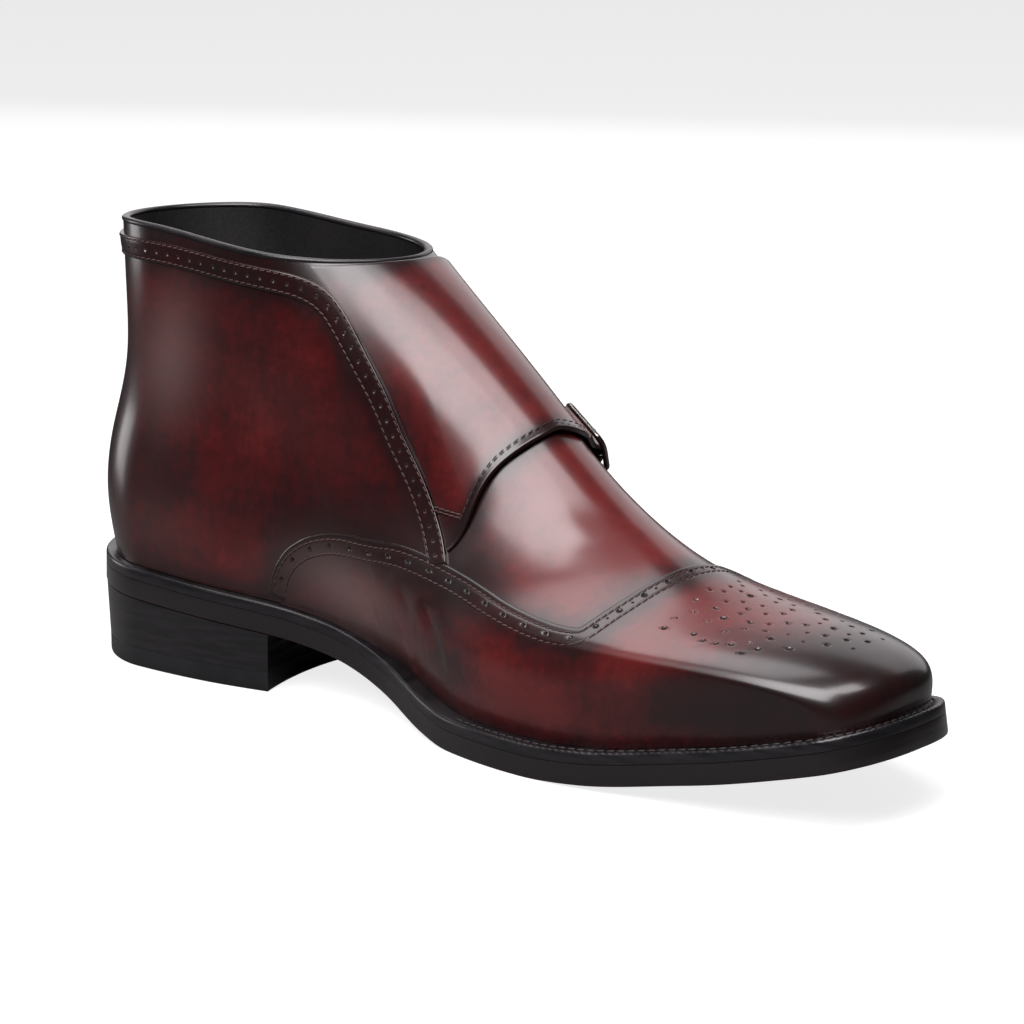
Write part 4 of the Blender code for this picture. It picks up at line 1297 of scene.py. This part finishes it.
def total(tree, first, *others):
    for other in others:
        first = add(tree, "Math", {0: first, 1: other}, operation="ADD").outputs[0]
    return first


def spread(tree, source, start, end, low=0.3, high=0.7):
    """A value in low to high carried to start to end; the defaults span most of a noise."""
    span = {"From Min": low, "From Max": high, "To Min": start, "To Max": end}
    return add(tree, "MapRange", {"Value": source, **span}).outputs[0]


def colours(tree, share, *stops):
    """Colour ramp over a share, from (place, colour) stops."""
    made = add(tree, "ValToRGB", {"Fac": share})
    ramp_stops = made.color_ramp.elements
    while len(ramp_stops) < len(stops):
        ramp_stops.new(0.5)
    for stop, (place, colour) in zip(ramp_stops, stops):
        stop.position, stop.color = place, (*colour, 1.0)
    return made.outputs["Color"]


def tinted(tree, name, colour, tint):
    """A colour blended into a tint by the piece's attribute of that name."""
    share = add(tree, "Attribute", attribute_name=name).outputs["Fac"]
    return add(tree, "Mix", {0: share, 6: colour, 7: (*tint, 1.0)}, data_type="RGBA").outputs[2]


def finish(name, roughness, **sockets):
    """A new material and its tree, with the shader's even values set on the shader itself."""
    material = bpy.data.materials.new(name)
    material.use_nodes = True
    inputs = material.node_tree.nodes["Principled BSDF"].inputs
    for key, value in {"Roughness": roughness, **sockets}.items():
        inputs[key.replace("_", " ")].default_value = value
    return material, material.node_tree


def surface(material, colour, roughness, *layers):
    """Link the colour, the roughness and bump layers of (height, strength, depth in mm) to the shader."""
    tree = material.node_tree
    inputs = tree.nodes["Principled BSDF"].inputs
    normal = {}
    for height, strength, depth in layers:
        values = {"Height": height, "Strength": strength, "Distance": depth * MM, **normal}
        normal = {"Normal": add(tree, "Bump", values).outputs["Normal"]}
    for key, value in {"Base Color": colour, "Roughness": roughness, **normal}.items():
        tree.links.new(value, inputs[key])
    return material


def burgundy_calf():
    """Polished calf: clouds and brush streaks shift the share of dark polish and painted shade, which picks
    the colour.
    """
    material, tree = finish("burgundy_calf", 0.3, Coat_Weight=0.75, Coat_Roughness=0.20,
                            Specular_IOR_Level=0.38)
    cloud = noise(tree, 24, 5, 0.65)
    brush = noise(tree, 95, 4, 0.65, (1.0, 1.0, 0.22))
    cross = noise(tree, 120, 3, 0.6, (0.3, 0.3, 1.0))
    fleck = noise(tree, 340, 3, 0.62)
    shifts = [spread(tree, source, -reach, reach)
              for source, reach in ((cloud, 0.16), (brush, 0.11), (cross, 0.07), (fleck, 0.09))]
    polish_and_shade_share = total(tree, add(tree, "Attribute", attribute_name="polish_and_shade").outputs["Fac"], *shifts)
    colour = colours(tree, polish_and_shade_share, (0.00, (0.108, 0.0098, 0.0098)), (0.30, (0.056, 0.0048, 0.0056)),
                     (0.60, (0.020, 0.0032, 0.0038)), (1.00, (0.0085, 0.0032, 0.0034)))
    # near-black painted shade on the leather pushed in under the punched holes
    colour = tinted(tree, "punched_shade", colour, (0.006, 0.003, 0.003))
    # pale tint: bare leather at cut edges, strap undersides and hole lips, and painted sheen on the upper and
    # the wing cap
    colour = tinted(tree, "bare", colour, (0.235, 0.155, 0.150))
    return surface(material, colour, spread(tree, brush, 0.28, 0.37), (noise(tree, 160, 3, 0.5), 0.25, 0.10),
                   (noise(tree, 2600, 2, 0.5), 0.10, 0.03))


def black_edge():
    """Waxed edge: nearly black, with faint marks of the iron along it."""
    material, tree = finish("waxed_edge", 0.3, Coat_Weight=0.3, Coat_Roughness=0.2)
    lines = noise(tree, 220, 3, 0.6, (0.35, 0.35, 3.0))
    colour = colours(tree, lines, (0.3, (0.004, 0.004, 0.005)), (0.8, (0.014, 0.012, 0.014)))
    return surface(material, colour, spread(tree, lines, 0.26, 0.42), (lines, 0.2, 0.08),
                   (noise(tree, 1500, 2), 0.08, 0.03))


def black_rubber():
    material, tree = finish("heel_rubber", 0.45)
    wide = noise(tree, 60, 3, 0.5)
    colour = colours(tree, wide, (0.3, (0.006, 0.006, 0.007)), (0.75, (0.013, 0.013, 0.015)))
    return surface(material, colour, spread(tree, wide, 0.34, 0.50), (noise(tree, 1800, 3, 0.6), 0.2, 0.03))


def sole_leather():
    """Stained and polished sole: long streaks and clouds, black at the waxed rim, dark in the channel."""
    material, tree = finish("stained_sole", 0.24, Coat_Weight=0.3, Coat_Roughness=0.12)
    cloud = noise(tree, 22, 5, 0.62)
    streak = noise(tree, 60, 4, 0.6, (1.0, 0.35, 1.0))
    share = total(tree, spread(tree, cloud, 0.0, 0.62), spread(tree, streak, 0.0, 0.38))
    colour = colours(tree, share, (0.10, (0.030, 0.0035, 0.006)), (0.45, (0.085, 0.006, 0.009)),
                     (0.75, (0.150, 0.011, 0.010)), (0.95, (0.210, 0.030, 0.012)))
    colour = tinted(tree, "channel", colour, (0.020, 0.005, 0.006))
    colour = tinted(tree, "waxed", colour, (0.011, 0.009, 0.010))
    scratch = noise(tree, 300, 2, 0.5, (1.0, 0.12, 1.0))
    return surface(material, colour, spread(tree, streak, 0.2, 0.34), (cloud, 0.3, 0.4),
                   (scratch, 0.12, 0.06), (noise(tree, 1600, 2), 0.06, 0.03))


def plain_leather(name, low, high, roughness, depth):
    """Leather or thread of one hue: a fine noise moves its colour, roughness and height a little."""
    material, tree = finish(name, roughness)
    grain = noise(tree, 900, 3, 0.6)
    colour = colours(tree, noise(tree, 45, 3, 0.5), (0.3, low), (0.7, high))
    return surface(material, colour, spread(tree, grain, roughness - 0.06, roughness + 0.06),
                   (grain, 0.3, depth))


def nickel():
    """Dark nickel: brushed hairlines and a few duller clouds."""
    material, tree = finish("dark_nickel_metal", 0.25, Metallic=1.0)
    hair = noise(tree, 900, 2, 0.5, (0.2, 1.0, 1.0))
    cloud = noise(tree, 140, 3, 0.5)
    colour = colours(tree, cloud, (0.3, (0.17, 0.16, 0.155)), (0.7, (0.27, 0.26, 0.25)))
    return surface(material, colour, spread(tree, hair, 0.17, 0.25), (cloud, 0.05, 0.02))


# Leathers and threads of one hue: key, name, darker and lighter colour, roughness, depth of the grain in mm
PLAIN = [
    ("lining", "lining_leather", (0.005, 0.005, 0.006), (0.010, 0.009, 0.010), 0.55, 0.08),
    ("sock", "sock_leather", (0.020, 0.013, 0.011), (0.035, 0.022, 0.018), 0.5, 0.08),
    # pale leather in the collar band's holes: partly the raw leather under them, partly a painted highlight
    # on their rims
    ("bare_leather_and_glint", "bare_leather_and_glint", (0.060, 0.034, 0.033), (0.100, 0.060, 0.058), 0.85, 0.05),
    # near-black floors of the cap and wing holes: painted shade
    ("well", "painted_shade_well", (0.004, 0.0025, 0.0025), (0.008, 0.005, 0.005), 0.92, 0.05),
    ("thread", "upper_thread", (0.036, 0.015, 0.014), (0.066, 0.030, 0.027), 0.6, 0.04),
    ("dark_thread", "dark_thread", (0.009, 0.006, 0.006), (0.018, 0.011, 0.011), 0.6, 0.04),
    ("sole_thread", "sole_thread", (0.075, 0.032, 0.028), (0.20, 0.11, 0.095), 0.7, 0.05)]


def make_looks():
    looks = {"burgundy": burgundy_calf(), "edge": black_edge(), "rubber": black_rubber(),
             "sole": sole_leather(), "nickel": nickel()}
    return looks | {key: plain_leather(*values) for key, *values in PLAIN}


# --- stage

FLOOR_GLOW = 0.80
FLOOR_REACH = 14.0
LIGHT_COLOUR = (1.0, 0.96, 0.975)
BOOT_MIDDLE = (0.0, 0.0, 0.06)

# Soft boxes in metres: azimuth and elevation from the boot, distance, width, height and brightness
LIGHTS = {
    "main_box": (-82, 51.3, 1.20, 0.95, 0.93, 8.1),
    "front_box": (-10, 66.5, 1.20, 0.53, 0.50, 6.4),
    "over_box": (168, 66, 1.25, 0.68, 0.56, 3.4),
    "back_panel": (116, 26, 1.60, 2.30, 1.30, 0.88),
    "heel_strip": (-168, 8, 1.20, 0.40, 0.60, 3.0)}


def place_aimed(name, data, place):
    """An object of the scene at a place, turned to the middle of the boot."""
    obj = bpy.data.objects.new(name, data)
    obj.location = place
    obj.rotation_euler = (Vector(BOOT_MIDDLE) - obj.location).to_track_quat("-Z", "Y").to_euler()
    bpy.context.scene.collection.objects.link(obj)
    return obj


def soft_box(name, azimuth, elevation, distance, width, height, brightness):
    """Rectangular light at an angle round the boot from its toe and an angle over the floor."""
    turn, rise = azimuth * pi / 180, elevation * pi / 180
    data = bpy.data.lights.new(name, "AREA")
    data.shape, data.size, data.size_y = "RECTANGLE", width, height
    data.energy, data.color = pi * width * height * brightness, LIGHT_COLOUR
    place_aimed(name, data, (distance * np.sin(turn) * np.cos(rise), -distance * np.cos(turn) * np.cos(rise),
                             distance * np.sin(rise) + BOOT_MIDDLE[2]))


def seen_and_unseen(tree, seen, unseen, output):
    """Shader that is one thing to the camera and another to light bouncing off it."""
    ray = add(tree, "LightPath").outputs["Is Camera Ray"]
    mixed = add(tree, "MixShader", {0: ray, 1: unseen, 2: seen}).outputs[0]
    tree.links.new(mixed, tree.nodes[output].inputs["Surface"])


def pale_floor():
    """Pale floor that looks evenly lit but throws little light back up on the boot."""
    material = bpy.data.materials.new("pale_floor")
    material.use_nodes = True
    tree = material.node_tree
    glow = add(tree, "Emission", {"Color": (1, 1, 1, 1), "Strength": FLOOR_GLOW}).outputs[0]
    pale = add(tree, "BsdfDiffuse", {"Color": (0.36, 0.36, 0.36, 1)}).outputs[0]
    seen = add(tree, "AddShader", {0: glow, 1: pale}).outputs[0]
    place = add(tree, "TexCoord").outputs["Object"]
    squeezed = add(tree, "Mapping", {"Vector": place, "Scale": (1 / 0.30, 1 / 0.42, 0)}).outputs["Vector"]
    distance = add(tree, "VectorMath", {0: squeezed}, operation="LENGTH").outputs["Value"]
    near = colours(tree, spread(tree, distance, 0.0, 1.0, 0.6, 1.15), (0.0, (0.13,) * 3), (1.0, (0.03,) * 3))
    unseen = add(tree, "BsdfDiffuse", {"Color": near}).outputs[0]
    seen_and_unseen(tree, seen, unseen, "Material Output")
    return material


def make_stage():
    """Wide pale floor, dim even surroundings and soft lights."""
    scene = bpy.context.scene
    scene.view_settings.view_transform = "Standard"
    mesh = bpy.data.meshes.new("floor")
    corners = [(x * FLOOR_REACH, y * FLOOR_REACH, 0) for x, y in ((-1, -1), (1, -1), (1, 1), (-1, 1))]
    mesh.from_pydata(corners, [], [(0, 1, 2, 3)])
    mesh.materials.append(pale_floor())
    floor = bpy.data.objects.new("floor", mesh)
    scene.collection.objects.link(floor)
    scene.world = bpy.data.worlds.new("studio")
    scene.world.use_nodes = True
    tree = scene.world.node_tree
    tree.nodes.remove(tree.nodes["Background"])
    seen, unseen = (add(tree, "Background", {"Color": (1, 1, 1, 1), "Strength": strength}).outputs[0]
                    for strength in (FLOOR_GLOW, 0.035))
    seen_and_unseen(tree, seen, unseen, "World Output")
    for name, values in LIGHTS.items():
        soft_box(name, *values)


def make_camera():
    data = bpy.data.cameras.new("camera")
    data.sensor_width, data.lens = 36.0, 110.0
    data.clip_start, data.clip_end = 0.05, 50.0
    bpy.context.scene.camera = place_aimed("camera", data, (-0.698, -0.5839, 0.2666))


# --- the boot

def main():
    looks = make_looks()
    for build in (make_upper, make_lining, make_collar_roll, make_backstay, make_wing_cap, make_collar_band,
                  make_flap, make_outsole, make_welt, make_heel, make_sock, make_stitching):
        build(looks)
    for which in STRAP_ROUTES:
        make_strap(which, looks)
        make_buckle(which, looks)
    make_stage()
    make_camera()


main()
